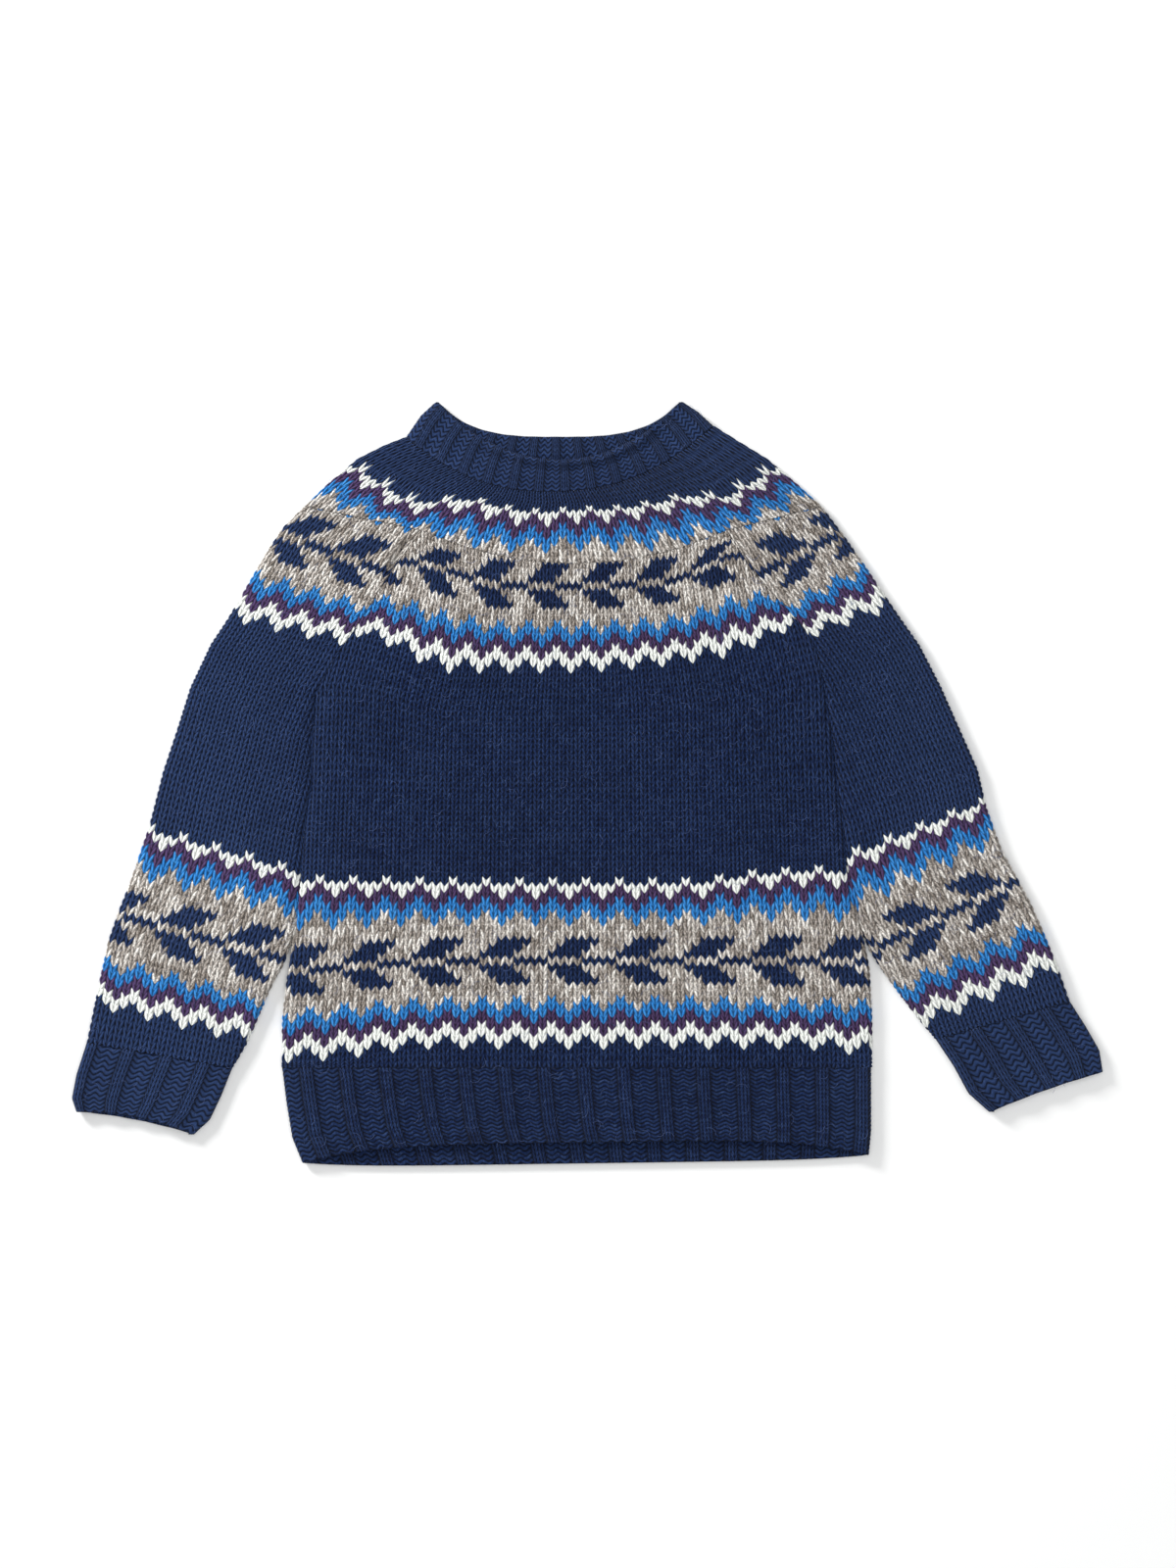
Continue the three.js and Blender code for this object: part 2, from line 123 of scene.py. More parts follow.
# one letter a yarn: navy, white, plum, blue and oaTmeal; the zigzags repeat every four stitches
yarns = ["navy", "white", "plum", "blue", "oatmeal"]
yarnLetters = "NWPBT"
zigzagTop = ["WNNN", "PWWW", "PPWP", "BPPP", "BBPB", "TBBB", "TTBT", "TTTT", "TTTT"]
leafRows = ["TTNNNNTT", "TNNNNTTT", "NNNNTTTT", "TTTTNNNN", "NNNNTTTT", "TNNNNTTT", "TTNNNNTT"]
zigzagFoot = [
    "TTTT", "TTTT", "BTTT", "BBTB", "PBBB", "PPBP", "WPPP", "WWPW", "NWWW", "NNWN",
]
chart = np.array([
    [yarnLetters.index(letter) for letter in (row * 2)[:8]] for row in zigzagTop + leafRows + zigzagFoot
])
leafStart = len(zigzagTop)
footStart = leafStart + len(leafRows)


def yarnAt(column, row, shifts, lastCourse):
    # the yoke's chart lies over courses -63 to -37, the lower band's over 0 to 26
    high = row < -30
    course = np.where(high, np.minimum(row + 63, lastCourse), row)
    charted = (course >= 0) & (course < len(chart))
    leaf = (course >= leafStart) & (course < footStart)
    foot = course >= footStart
    # shifts in stitches: top zigzag, leaf and foot zigzag of the yoke, then those of the lower band
    shift = np.select(
        [high & leaf, high & foot, high, leaf, foot],
        [shifts[1], shifts[2], shifts[0], shifts[4], shifts[5]], shifts[3],
    )
    return np.where(charted, chart[np.clip(course, 0, len(chart) - 1), (column + shift) % 8], 0)


def between(value, knots, lines):
    # the line for this value, between the lines that belong to the knots
    total = lines[0] + 0 * value
    for k in range(len(knots) - 1):
        share = np.clip((value - knots[k]) / (knots[k + 1] - knots[k]), 0, 1)
        total = total + share * (lines[k + 1] - lines[k])
    return total


def swellAt(x, y):
    total = np.zeros_like(x)
    for cx, cy, long, wide, degrees, rise in swells:
        turn = math.radians(degrees)
        along = ((x - cx) * math.cos(turn) + (y - cy) * math.sin(turn)) / long
        across = (-(x - cx) * math.sin(turn) + (y - cy) * math.cos(turn)) / wide
        total += rise * np.exp(-along ** 2 - across ** 2)
    return total


def creaseAt(x, y, creases):
    # each crease is a line of plan points with its half width and its rise, fading at both ends
    total = np.zeros_like(x)
    for points, wide, rise in creases:
        points = np.array(points, float)
        lengths = np.hypot(*np.diff(points, axis=0).T)
        before = np.concatenate([[0], np.cumsum(lengths)])
        nearest = np.full(x.shape, 1e9)
        share = np.zeros_like(x)
        for k, length in enumerate(lengths):
            a, b = points[k], points[k + 1]
            t = ((x - a[0]) * (b[0] - a[0]) + (y - a[1]) * (b[1] - a[1])) / length ** 2
            t = np.clip(t, 0, 1)
            gap = np.hypot(x - a[0] - t * (b[0] - a[0]), y - a[1] - t * (b[1] - a[1]))
            closer = gap < nearest
            nearest = np.where(closer, gap, nearest)
            share = np.where(closer, (before[k] + t * length) / before[-1], share)
        fade = np.clip(np.sin(np.pi * np.clip(share, 0.02, 0.98)) * 2.5, 0, 1)
        total += rise * fade * np.exp(-(nearest / wide) ** 2)
    return total


def layerPoint(x, y, along, lean, upper, creases):
    # lean is the turn over the side fold, along the unit direction of the section line
    high = topHeight + swellAt(x, y) + creaseAt(x, y, creases)
    up = midHeight + seamLift * np.sin(lean) ** 2 + (high - midHeight) * np.cos(lean)
    down = midHeight - seamLift * np.sin(lean) ** 2 - midHeight * np.cos(lean)
    outer = np.stack([x, y, np.where(upper, up, down)], -1)
    side = np.sign(lean)[..., None] * along
    shift = np.concatenate([side * np.abs(np.sin(lean))[..., None], np.zeros(lean.shape + (1,))], -1)
    room = np.maximum(up - underFront, 0.1)
    depth = np.where(upper, np.minimum(wall * np.cos(lean), room), -wall * np.cos(lean))
    inner = outer - wall * shift
    inner[..., 2] -= depth
    return outer, inner


def bodyPlace(settings):
    table = np.array(bodySections, float)
    upper = settings["upper"]

    def place(u, v):
        x = settings["chartCentre"] + u * np.interp(v, settings["widthCourses"], settings["stitchWidths"])
        # the top edge hangs 29 mm between the raglan corners, 134 mm to each side of x -12,
        # and cuts across 2.7 courses on the way
        sag = ((x + 12) / 134) ** 2
        knots = [-54.3 - 2.7 * np.minimum(sag, 1)] + [course for course, _ in bodyCourses]
        lines = [193 + 29 * sag]
        lines += [np.interp(x, [p[0] for p in line], [p[1] for p in line]) for _, line in bodyCourses]
        y = between(v, knots, lines)
        left = np.interp(-y, -table[:, 1], table[:, 0])
        right = np.interp(-y, -table[:, 3], table[:, 2])
        reach = np.interp(-y, -table[:, 1], table[:, 4]) * math.pi / 2
        flatLeft = left + midHeight * np.sin(reach)
        flatRight = right - midHeight * np.sin(reach)
        beyond = np.maximum(flatLeft - x, x - flatRight) / midHeight
        lean = np.clip(beyond, 0, reach) * np.sign(x)
        planX = np.clip(x, flatLeft, flatRight) + midHeight * np.sin(lean)
        along = np.broadcast_to([1.0, 0.0], x.shape + (2,))
        outer, inner = layerPoint(planX, y, along, lean, np.full(x.shape, upper), settings["creases"])
        return outer, inner, beyond - reach
    return place


def sleevePlace(settings):
    # courses are counted along the outer fold and along the body, and blended between them
    table = np.array(settings["sections"], float)
    steps = np.arange(len(table))
    innerRun = np.hypot(*np.diff(table[:, 0:2], axis=0).T)
    outerRun = np.hypot(*np.diff(table[:, 2:4], axis=0).T)
    run = np.concatenate([[0], np.cumsum((innerRun + outerRun) / 2)])
    outerKnots = np.interp(settings["outerSections"], steps, run)
    innerKnots = np.interp(settings["innerSections"], steps, run)
    outerCourses = [settings["outerStart"]] + settings["knotCourses"]
    innerCourses = [settings["innerStart"]] + settings["knotCourses"]
    quarter = midHeight * math.pi / 2

    def place(u, v):
        stitchWidth = np.interp(v, settings["widthCourses"], settings["stitchWidths"])
        far = np.abs(u + settings["phase"]) * stitchWidth
        outerRunAt = np.interp(v, outerCourses, outerKnots)
        innerRunAt = np.interp(v, innerCourses, innerKnots)
        step = np.interp((outerRunAt + innerRunAt) / 2, run, steps)
        ax, ay, bx, by, fold = [np.interp(step, steps, table[:, k]) for k in range(5)]
        share = np.clip(far / np.hypot(ax - bx, ay - by), 0, 1)
        step = np.interp(outerRunAt * (1 - share) + innerRunAt * share, run, steps)
        ax, ay, bx, by, fold = [np.interp(step, steps, table[:, k]) for k in range(5)]
        width = np.hypot(ax - bx, ay - by)
        along = np.stack([(ax - bx) / width, (ay - by) / width], -1)
        outerLean = np.clip(math.pi / 2 - far / midHeight, 0, math.pi / 2)
        reach = fold * math.pi / 2
        flatEnd = width - midHeight * np.sin(reach)
        runAcross = midHeight + np.maximum(far - quarter, 0)
        beyond = (runAcross - flatEnd) / midHeight
        innerLean = np.clip(beyond, 0, reach)
        across = np.where(
            far < quarter,
            midHeight - midHeight * np.sin(outerLean),
            np.minimum(runAcross, flatEnd) + midHeight * np.sin(innerLean),
        )
        x, y = bx + along[..., 0] * across, by + along[..., 1] * across
        lean = np.where(far < quarter, -outerLean, innerLean)
        outer, inner = layerPoint(x, y, along, lean, u + settings["phase"] >= 0, settings["creases"])
        return outer, inner, beyond - reach
    return place


def hang(share, depth, power):
    return depth * (1 - np.abs(2 * share - 1) ** power)


def level(share):
    return 0 * share


def yokeSeamHang(share):
    # straight over the sleeves, hanging over the body between the raglan corners, in 454 mm
    first, last = 103 / 454, 371 / 454
    u = np.clip((share - first) / (last - first), 0, 1)
    ends = np.minimum(share / first, (1 - share) / (1 - last))
    return np.where((share > first) & (share < last), 21 + 29 * (1 - (2 * u - 1) ** 2), 21 * ends)


def yokeSeamCourse(share):
    # the courses climb towards the raglan corners, so the seam cuts across them
    shares = [0, 0.227, 0.4, 0.522, 0.644, 0.817, 1]
    return np.interp(share, shares, [-55.2, -57, -55.4, -54.3, -55.4, -57, -55.2])


def neckRoll(share):
    # the neck's edge is rolled over at its two corners, which makes them round
    near = np.minimum(share, 1 - share) / 0.025
    return 3.5 * near * np.exp(1 - near)


def ringPlace(settings):
    # a tube that goes all round, with half of its stitches in front, centred on stitch 0
    table = np.array(settings["sections"], float)
    steps = np.arange(len(table))
    leftRun = np.hypot(*np.diff(table[:, 0:2], axis=0).T)
    rightRun = np.hypot(*np.diff(table[:, 2:4], axis=0).T)
    run = np.concatenate([[0], np.cumsum((leftRun + rightRun) / 2)])
    run /= run[-1]
    half = settings["stitches"]
    firstRow, lastRow = settings["rows"]

    def dipAt(share, progress, top, foot):
        return settings[top](share) * (1 - progress) + settings[foot](share) * progress

    def lineAt(share, progress, upper):
        step = np.interp(progress, run, steps)
        lx, ly, rx, ry = [np.interp(step, steps, table[:, k]) for k in range(4)]
        frontDip = dipAt(share, progress, "topFront", "footFront")
        backDip = dipAt(share, progress, "topBack", "footBack")
        dip = np.where(upper, frontDip, backDip)
        return lx + (rx - lx) * share, ly + (ry - ly) * share - dip, np.hypot(rx - lx, ry - ly)

    # the white zigzag under the neck keeps the height it has in the photo, so that the plain
    # courses above it are fewer in the middle
    if "zigzagLine" in settings:
        many = np.linspace(0, 1, 61)
        shareGrid, progressGrid = np.meshgrid(many, many)
        gx, gy, _ = lineAt(shareGrid, progressGrid, np.full(shareGrid.shape, True))
        zigzagX, zigzagY = np.array(settings["zigzagLine"], float).T
        above = gy - np.interp(gx, zigzagX, zigzagY)
        frontZigzag = np.array([np.interp(0, -above[:, k], many) for k in range(len(many))])
        marks = [frontZigzag[0], settings["zigzagBehind"], frontZigzag[-1]]
        backZigzag = np.interp(many, [0, 0.5, 1], marks)
        depth = np.hypot(gx[-1] - gx[0], gy[-1] - gy[0])

    # stitches keep one width along the hanging line, so shares come from its length
    probe = np.linspace(0, 1, 200)
    spread = {}
    for upper in (True, False):
        px, py, _ = lineAt(probe, np.full(200, settings["evenAt"]), upper)
        grown = np.concatenate([[0], np.cumsum(np.hypot(np.diff(px), np.diff(py)))])
        spread[upper] = grown / grown[-1]

    def place(u, v):
        turn = np.mod(u / half + 0.5, 2)
        upper = turn <= 1
        part = np.where(upper, turn, 2 - turn)
        even = np.where(upper, np.interp(part, spread[True], probe), np.interp(part, spread[False], probe))
        progress = np.clip((v - firstRow) / (lastRow - firstRow), 0, 1)
        if "zigzagLine" in settings:
            mark = np.where(upper, np.interp(even, many, frontZigzag), np.interp(even, many, backZigzag))
            start = mark - settings["zigzagHeight"] / np.interp(even, many, depth)
            knots = [firstRow, -63, -60, yokeSeamCourse(even)]
            progress = between(v, knots, [0 * v, start, mark, 0 * v + 1])
        _, _, width = lineAt(even, progress, upper)
        loop = width - 2 * midHeight + math.pi * midHeight
        far = (even - 0.5) * loop
        flatHalf = width / 2 - midHeight
        lean = np.clip((np.abs(far) - flatHalf) / midHeight, 0, math.pi / 2) * np.sign(far)
        flat = np.clip(far, -flatHalf, flatHalf) + midHeight * np.sin(lean)
        x, y, _ = lineAt(flat / width + 0.5, progress, upper)
        along = np.broadcast_to([1.0, 0.0], x.shape + (2,))
        outer, inner = layerPoint(x, y, along, lean, upper, settings["creases"])
        return outer, inner, np.full(x.shape, -1.0)
    return place


def zipRows(first, second):
    # triangles between two runs of points that lie side by side
    faces, i, j = [], 0, 0
    while i < len(first) - 1 or j < len(second) - 1:
        nextFirst = (i + 1) / (len(first) - 1) if i < len(first) - 1 else 2
        nextSecond = (j + 1) / (len(second) - 1) if j < len(second) - 1 else 2
        if nextFirst <= nextSecond:
            faces.append((first[i], first[i + 1], second[j]))
            i += 1
        else:
            faces.append((first[i], second[j + 1], second[j]))
            j += 1
    return faces


def knitShell(name, place, settings):
    # a grid of stitches, each one a V, with a plainer skin inside it and closed rims
    across, down = settings["quads"]
    closed = settings["closed"]
    firstRow, lastRow = settings["rows"]
    rise = settings["vRise"]
    lowStitch, highStitch = settings["columns"]
    u = np.arange(round(lowStitch * across), round(highStitch * across) + (0 if closed else 1)) / across
    v = np.arange(math.floor(firstRow * down), math.ceil((lastRow + rise) * down) + 1) / down
    gridU, gridV = np.meshgrid(u, v)
    lean = 2 * np.abs(gridU - np.round(gridU))
    realV = np.clip(gridV - rise * lean, firstRow, lastRow)
    outer, inner, excess = place(gridU, realV)
    outward = outer - inner
    rows, columns = gridU.shape
    # an open piece ends where its fold does, which is between two of the grid's columns
    endU, endV = np.zeros((rows, 2)), np.zeros((rows, 2))
    for j in range(rows if not closed else 0):
        inside = np.flatnonzero(excess[j] <= 0)
        for side, (near, far) in enumerate([(inside[0], inside[0] - 1), (inside[-1], inside[-1] + 1)]):
            if 0 <= far < columns:
                f = excess[j, near] / (excess[j, near] - excess[j, far])
                endU[j, side] = u[near] + f * (u[far] - u[near])
                endV[j, side] = realV[j, near] + f * (realV[j, far] - realV[j, near])
                stop = place(endU[j:j + 1, side], endV[j:j + 1, side])[0][0]
                if side == 0:
                    outer[j, :near] = stop
                else:
                    outer[j, near + 1:] = stop
            else:
                endU[j, side], endV[j, side] = u[near], realV[j, near]
    # the skin inside is plainer, with fewer columns
    step = settings["innerStep"]
    if closed:
        innerU = np.repeat(u[None, ::step], rows, 0)
        innerV = np.clip(np.repeat(v[:, None], innerU.shape[1], 1) - rise / 2, firstRow, lastRow)
    else:
        count = max(4, columns // step)
        share = np.linspace(0, 1, count + 1)
        innerU = endU[:, :1] * (1 - share) + endU[:, 1:] * share
        innerV = np.clip(endV[:, :1] * (1 - share) + endV[:, 1:] * share, firstRow, lastRow)
    outerThere, innerPoints, _ = place(innerU, innerV)
    innerCount = innerU.shape[1]
    points = np.concatenate([outer.reshape(-1, 3), innerPoints.reshape(-1, 3)])
    outerId = np.arange(rows * columns).reshape(rows, columns)
    innerId = rows * columns + np.arange(rows * innerCount).reshape(rows, innerCount)
    nextOuter = np.roll(outerId, -1, 1) if closed else outerId[:, 1:]
    thisOuter = outerId if closed else outerId[:, :-1]
    quads = np.stack([thisOuter[1:], nextOuter[1:], nextOuter[:-1], thisOuter[:-1]], -1)
    faces = quads.reshape(-1, 4).tolist()
    yarn = []
    if settings["charted"]:
        middle = u + 0.5 / across if closed else (u[1:] + u[:-1]) / 2
        stitchColumn = np.floor(middle + 0.5).astype(int)[None, :]
        stitchRow = np.floor((v[:-1] + v[1:]) / 2).astype(int)[:, None]
        kinds = yarnAt(stitchColumn, stitchRow, settings["chartShifts"], settings["lastCourse"])
        yarn = kinds.reshape(-1).tolist()
    nextInner = np.roll(innerId, -1, 1) if closed else innerId[:, 1:]
    thisInner = innerId if closed else innerId[:, :-1]
    quads = np.stack([thisInner[:-1], nextInner[:-1], nextInner[1:], thisInner[1:]], -1)
    faces += quads.reshape(-1, 4).tolist()
    flat = [False] * len(faces)
    if not closed:
        for outerEdge, innerEdge in ((outerId[:, 0], innerId[:, 0]), (innerId[:, -1], outerId[:, -1])):
            quads = np.stack([outerEdge[:-1], innerEdge[:-1], innerEdge[1:], outerEdge[1:]], -1)
            faces += quads.tolist()
            flat += [True] * len(quads)
    for row, joined in zip((0, -1), settings["joined"]):
        first, second = outerId[row].tolist(), innerId[row].tolist()
        if closed:
            first, second = first + first[:1], second + second[:1]
        rim = zipRows(first, second)
        faces += rim
        flat += [joined] * len(rim)
    # the lining is navy, and the ribs are all of the wool that follows the charted ones
    yarn += [0 if settings["charted"] else len(yarns)] * (len(faces) - len(yarn))
    # points within a 200th of a millimetre become one
    keys = np.round(points * 200).astype(np.int64)
    _, keep, same = np.unique(keys, axis=0, return_index=True, return_inverse=True)
    same = same.reshape(-1)
    # where each point is in its stitch, how much relief it takes and which way that pushes it
    innerRelief = np.full(innerU.shape, float(settings.get("innerRelief", 0)))
    stitch = np.concatenate([
        np.stack([gridU, gridV, np.ones(gridU.shape)], -1).reshape(-1, 3),
        np.stack([innerU, innerV + rise / 2, innerRelief], -1).reshape(-1, 3),
    ])
    push = np.concatenate([outward.reshape(-1, 3), (innerPoints - outerThere).reshape(-1, 3)])
    push /= np.maximum(np.linalg.norm(push, axis=-1, keepdims=True), 1e-6)
    cleanFaces, cleanYarn, cleanFlat, corners = [], [], [], []
    for face, kind, isFlat in zip(faces, yarn, flat):
        ids, own = [], []
        for corner in face:
            if same[corner] not in ids:
                ids.append(same[corner])
                own.append(corner)
        if len(ids) > 2:
            cleanFaces.append(ids)
            cleanYarn.append(kind)
            cleanFlat.append(isFlat)
            corners += own
    plan = points[keep] + np.array([planShift[0], planShift[1], 0])
    mesh = bpy.data.meshes.new(name)
    mesh.from_pydata((plan * 0.001).tolist(), [], cleanFaces)
    uv = mesh.uv_layers.new(name="stitches")
    uv.data.foreach_set("uv", stitch[corners][:, :2].astype(np.float32).reshape(-1))
    stitchData = mesh.attributes.new("stitch", "FLOAT_VECTOR", "POINT")
    stitchData.data.foreach_set("vector", stitch[keep].astype(np.float32).reshape(-1))
    pushData = mesh.attributes.new("push", "FLOAT_VECTOR", "POINT")
    pushData.data.foreach_set("vector", push[keep].astype(np.float32).reshape(-1))
    kindData = mesh.attributes.new("yarn", "INT", "FACE")
    kindData.data.foreach_set("value", np.array(cleanYarn, np.int32))
    work = bmesh.new()
    work.from_mesh(mesh)
    bmesh.ops.recalc_face_normals(work, faces=work.faces)
    for face, isFlat in zip(work.faces, cleanFlat):
        face.smooth = not isFlat
    work.to_mesh(mesh)
    work.free()
    return newObject(name, mesh)


def newObject(name, data):
    made = bpy.data.objects.new(name, data)
    scene.collection.objects.link(made)
    return made


def toLinear(code):
    parts = [int(code[k:k + 2], 16) / 255 for k in (1, 3, 5)]
    return [p / 12.92 if p <= 0.04045 else ((p + 0.055) / 1.055) ** 2.4 for p in parts] + [1]


def add(tree, kind, values=None, **settings):
    made = tree.nodes.new(kind)
    for key, value in settings.items():
        setattr(made, key, value)
    for key, value in (values or {}).items():
        if isinstance(value, bpy.types.NodeSocket):
            tree.links.new(value, made.inputs[key])
        else:
            made.inputs[key].default_value = value
    return made


def sideOf(tree, u):
    # 0 in the middle of a stitch, 1 at its edges
    off = add(tree, "ShaderNodeMath", {
        0: add(tree, "ShaderNodeMath", {
            0: u,
            1: add(tree, "ShaderNodeMath", {0: u}, operation="ROUND").outputs[0],
        }, operation="SUBTRACT").outputs[0],
    }, operation="ABSOLUTE").outputs[0]
    return add(tree, "ShaderNodeMath", {0: off, 1: 2.0}, operation="MULTIPLY").outputs[0]


def phaseOf(tree, v):
    # from 0 to 1 over each course, with enough added that the fraction is never of a negative
    return add(tree, "ShaderNodeMath", {
        0: add(tree, "ShaderNodeMath", {0: v, 1: 200.0}, operation="ADD").outputs[0],
    }, operation="FRACT").outputs[0]


# Rustic wool: two loosely twisted plies, carded from fibres dyed unlike each other, so each
# colour is a heather whose flecks run on along the course. Each leg of a stitch is a plump loop,
# and little light gets down between the legs. Loose hairs stand off and catch the light.
# Streaks run along the course, legs and cell set how unlike the loops are, grain is the fleck size,
# gap sets how dark the painted shade between the legs is, and the last setting is how much paler
# the wool is painted away from the middle of the body, a painted sheen.
woolSettings = {
    "navy": dict(main="#13254b", light="#32466f", dark="#070f28", streaks=0.35, legs=0.8, cell=0.12,
                 grain=520, gap=0.12, sheen=0.03, paintedSheen=0.42),
    "white": dict(main="#f1f4ee", light="#ffffff", dark="#d3d8d1", streaks=0.15, legs=0.4, cell=0.1,
                  grain=700, gap=0.6, sheen=0.03, paintedSheen=0),
    "plum": dict(main="#443356", light="#665080", dark="#2a1e39", streaks=0.3, legs=0.5, cell=0.12,
                 grain=700, gap=0.25, sheen=0.04, paintedSheen=0.2),
    "blue": dict(main="#2a7cc8", light="#5dabe8", dark="#17589c", streaks=0.25, legs=0.6, cell=0.15,
                 grain=700, gap=0.26, sheen=0.04, paintedSheen=0),
    "oatmeal": dict(main="#aaa199", light="#fdf9f2", dark="#665d55", streaks=0.15, legs=1.0, cell=0.26,
                    grain=760, gap=0.4, sheen=0.04, paintedSheen=0),
}


def woolMaterial(name, look, rib=False):
    material = bpy.data.materials.new(("ribbed " if rib else "") + name + " wool")
    material.use_nodes = True
    tree = material.node_tree
    tree.nodes.clear()
    stitches = add(tree, "ShaderNodeUVMap", uv_map="stitches").outputs[0]
    place = add(tree, "ShaderNodeTexCoord").outputs["Object"]
    u, v, _ = add(tree, "ShaderNodeSeparateXYZ", {0: stitches}).outputs
    if rib:
        # two plain wales drawn together, then two purl wales spread out between them
        turn = add(tree, "ShaderNodeMath", {
            0: add(tree, "ShaderNodeMath", {
                0: u,
                1: 0.25,
                2: 50.0,
            }, operation="MULTIPLY_ADD").outputs[0],
        }, operation="FRACT").outputs[0]
        knit = add(tree, "ShaderNodeMath", {0: turn, 1: knitShare}, operation="LESS_THAN").outputs[0]
        wale = add(tree, "ShaderNodeMath", {
            0: add(tree, "ShaderNodeMath", {
                0: turn,
                1: 2 / knitShare,
            }, operation="MULTIPLY").outputs[0],
        }, operation="FRACT").outputs[0]
        side = add(tree, "ShaderNodeMath", {
            0: add(tree, "ShaderNodeMath", {
                0: add(tree, "ShaderNodeMath", {0: wale, 1: 0.5}, operation="SUBTRACT").outputs[0],
            }, operation="ABSOLUTE").outputs[0],
            1: 2.0,
        }, operation="MULTIPLY").outputs[0]
        phase = add(tree, "ShaderNodeMath", {
            0: add(tree, "ShaderNodeMath", {
                0: side,
                1: 0.9,
                2: add(tree, "ShaderNodeMath", {0: v, 1: 200.0}, operation="ADD").outputs[0],
            }, operation="MULTIPLY_ADD").outputs[0],
        }, operation="FRACT").outputs[0]
    else:
        side, phase = sideOf(tree, u), phaseOf(tree, v)
    # a leg is highest along the line from the foot of the V to its outer tip
    across = add(tree, "ShaderNodeMath", {
        0: add(tree, "ShaderNodeMath", {
            0: add(tree, "ShaderNodeMath", {0: side, 1: phase}, operation="ADD").outputs[0],
            1: 1.0,
        }, operation="SUBTRACT").outputs[0],
        1: vRise,
    }, operation="DIVIDE").outputs[0]
    plump = add(tree, "ShaderNodeMath", {
        0: add(tree, "ShaderNodeMath", {
            0: 1.0,
            1: add(tree, "ShaderNodeMath", {0: across, 1: across}, operation="MULTIPLY").outputs[0],
        }, operation="SUBTRACT").outputs[0],
        1: 0.0,
    }, operation="MAXIMUM").outputs[0]
    inner = add(tree, "ShaderNodeMath", {
        0: add(tree, "ShaderNodeMath", {
            0: add(tree, "ShaderNodeMath", {0: side, 1: 3.2}, operation="MULTIPLY").outputs[0],
            1: 1.0,
        }, operation="MINIMUM").outputs[0],
        1: 0.75,
        2: 0.25,
    }, operation="MULTIPLY_ADD").outputs[0]
    rest = add(tree, "ShaderNodeMath", {
        0: add(tree, "ShaderNodeMath", {0: 1.0, 1: side}, operation="SUBTRACT").outputs[0],
        1: 3.6,
    }, operation="MULTIPLY").outputs[0]
    outer = add(tree, "ShaderNodeMath", {
        0: add(tree, "ShaderNodeMath", {0: rest, 1: 1.0}, operation="MINIMUM").outputs[0],
        1: 0.75,
        2: 0.25,
    }, operation="MULTIPLY_ADD").outputs[0]
    height = add(tree, "ShaderNodeMath", {
        0: add(tree, "ShaderNodeMath", {0: plump, 1: inner}, operation="MULTIPLY").outputs[0],
        1: outer,
    }, operation="MULTIPLY").outputs[0]
    if rib:
        # the purl wales show as wavy ridges along the courses
        part = add(tree, "ShaderNodeMath", {
            0: add(tree, "ShaderNodeMath", {0: turn, 1: knitShare}, operation="SUBTRACT").outputs[0],
            1: 4 * math.pi / (1 - knitShare),
        }, operation="MULTIPLY").outputs[0]
        wave = add(tree, "ShaderNodeMath", {
            0: add(tree, "ShaderNodeMath", {0: part}, operation="COSINE").outputs[0],
            1: 0.32,
            2: v,
        }, operation="MULTIPLY_ADD").outputs[0]
        ridge = add(tree, "ShaderNodeMath", {
            0: add(tree, "ShaderNodeMath", {
                0: add(tree, "ShaderNodeMath", {0: wave, 1: math.pi}, operation="MULTIPLY").outputs[0],
            }, operation="SINE").outputs[0],
        }, operation="ABSOLUTE").outputs[0]
        height = add(tree, "ShaderNodeMix", {0: knit, 2: ridge, 3: height}, data_type="FLOAT").outputs[0]
    # heather: long soft streaks along the course, and each leg a little unlike its neighbours
    long = add(tree, "ShaderNodeMapping", {0: stitches, 3: (0.13, 0.85, 1)}).outputs[0]
    streak = add(tree, "ShaderNodeMapRange", {
        0: add(tree, "ShaderNodeTexNoise", {
            0: long,
            "Scale": 1.0,
            "Detail": 3.0,
            "Roughness": 0.55,
        }).outputs[0],
        1: 0.45,
        2: 0.72,
        4: look["streaks"],
    }).outputs[0]
    cell = add(tree, "ShaderNodeCombineXYZ", {
        0: add(tree, "ShaderNodeMath", {
            0: add(tree, "ShaderNodeMath", {0: u, 1: 2.0}, operation="MULTIPLY").outputs[0],
        }, operation="FLOOR").outputs[0],
        1: add(tree, "ShaderNodeMath", {
            0: add(tree, "ShaderNodeMath", {0: v, 1: 0.001}, operation="ADD").outputs[0],
        }, operation="FLOOR").outputs[0],
    }).outputs[0]
    leg = add(tree, "ShaderNodeTexWhiteNoise", {0: cell}, noise_dimensions="3D").outputs[0]
    fine = add(tree, "ShaderNodeTexNoise", {
        0: place,
        "Scale": look["grain"],
        "Detail": 3.0,
        "Roughness": 0.7,
    }).outputs[0]
    leg = add(tree, "ShaderNodeMath", {
        0: leg,
        1: look["cell"],
        2: -look["cell"] / 2,
    }, operation="MULTIPLY_ADD").outputs[0]
    mixed = add(tree, "ShaderNodeMath", {0: fine, 1: 0.9, 2: leg}, operation="MULTIPLY_ADD").outputs[0]
    toLight = add(tree, "ShaderNodeMath", {
        0: add(tree, "ShaderNodeMapRange", {0: mixed, 1: 0.46, 2: 0.64, 4: look["legs"]}).outputs[0],
        1: streak,
    }, operation="MAXIMUM").outputs[0]
    toDark = add(tree, "ShaderNodeMapRange", {0: mixed, 1: 0.44, 2: 0.27, 4: look["legs"]}).outputs[0]
    colour = add(tree, "ShaderNodeMix", {
        0: toLight,
        6: toLinear(look["main"]),
        7: toLinear(look["light"]),
    }, data_type="RGBA").outputs[2]
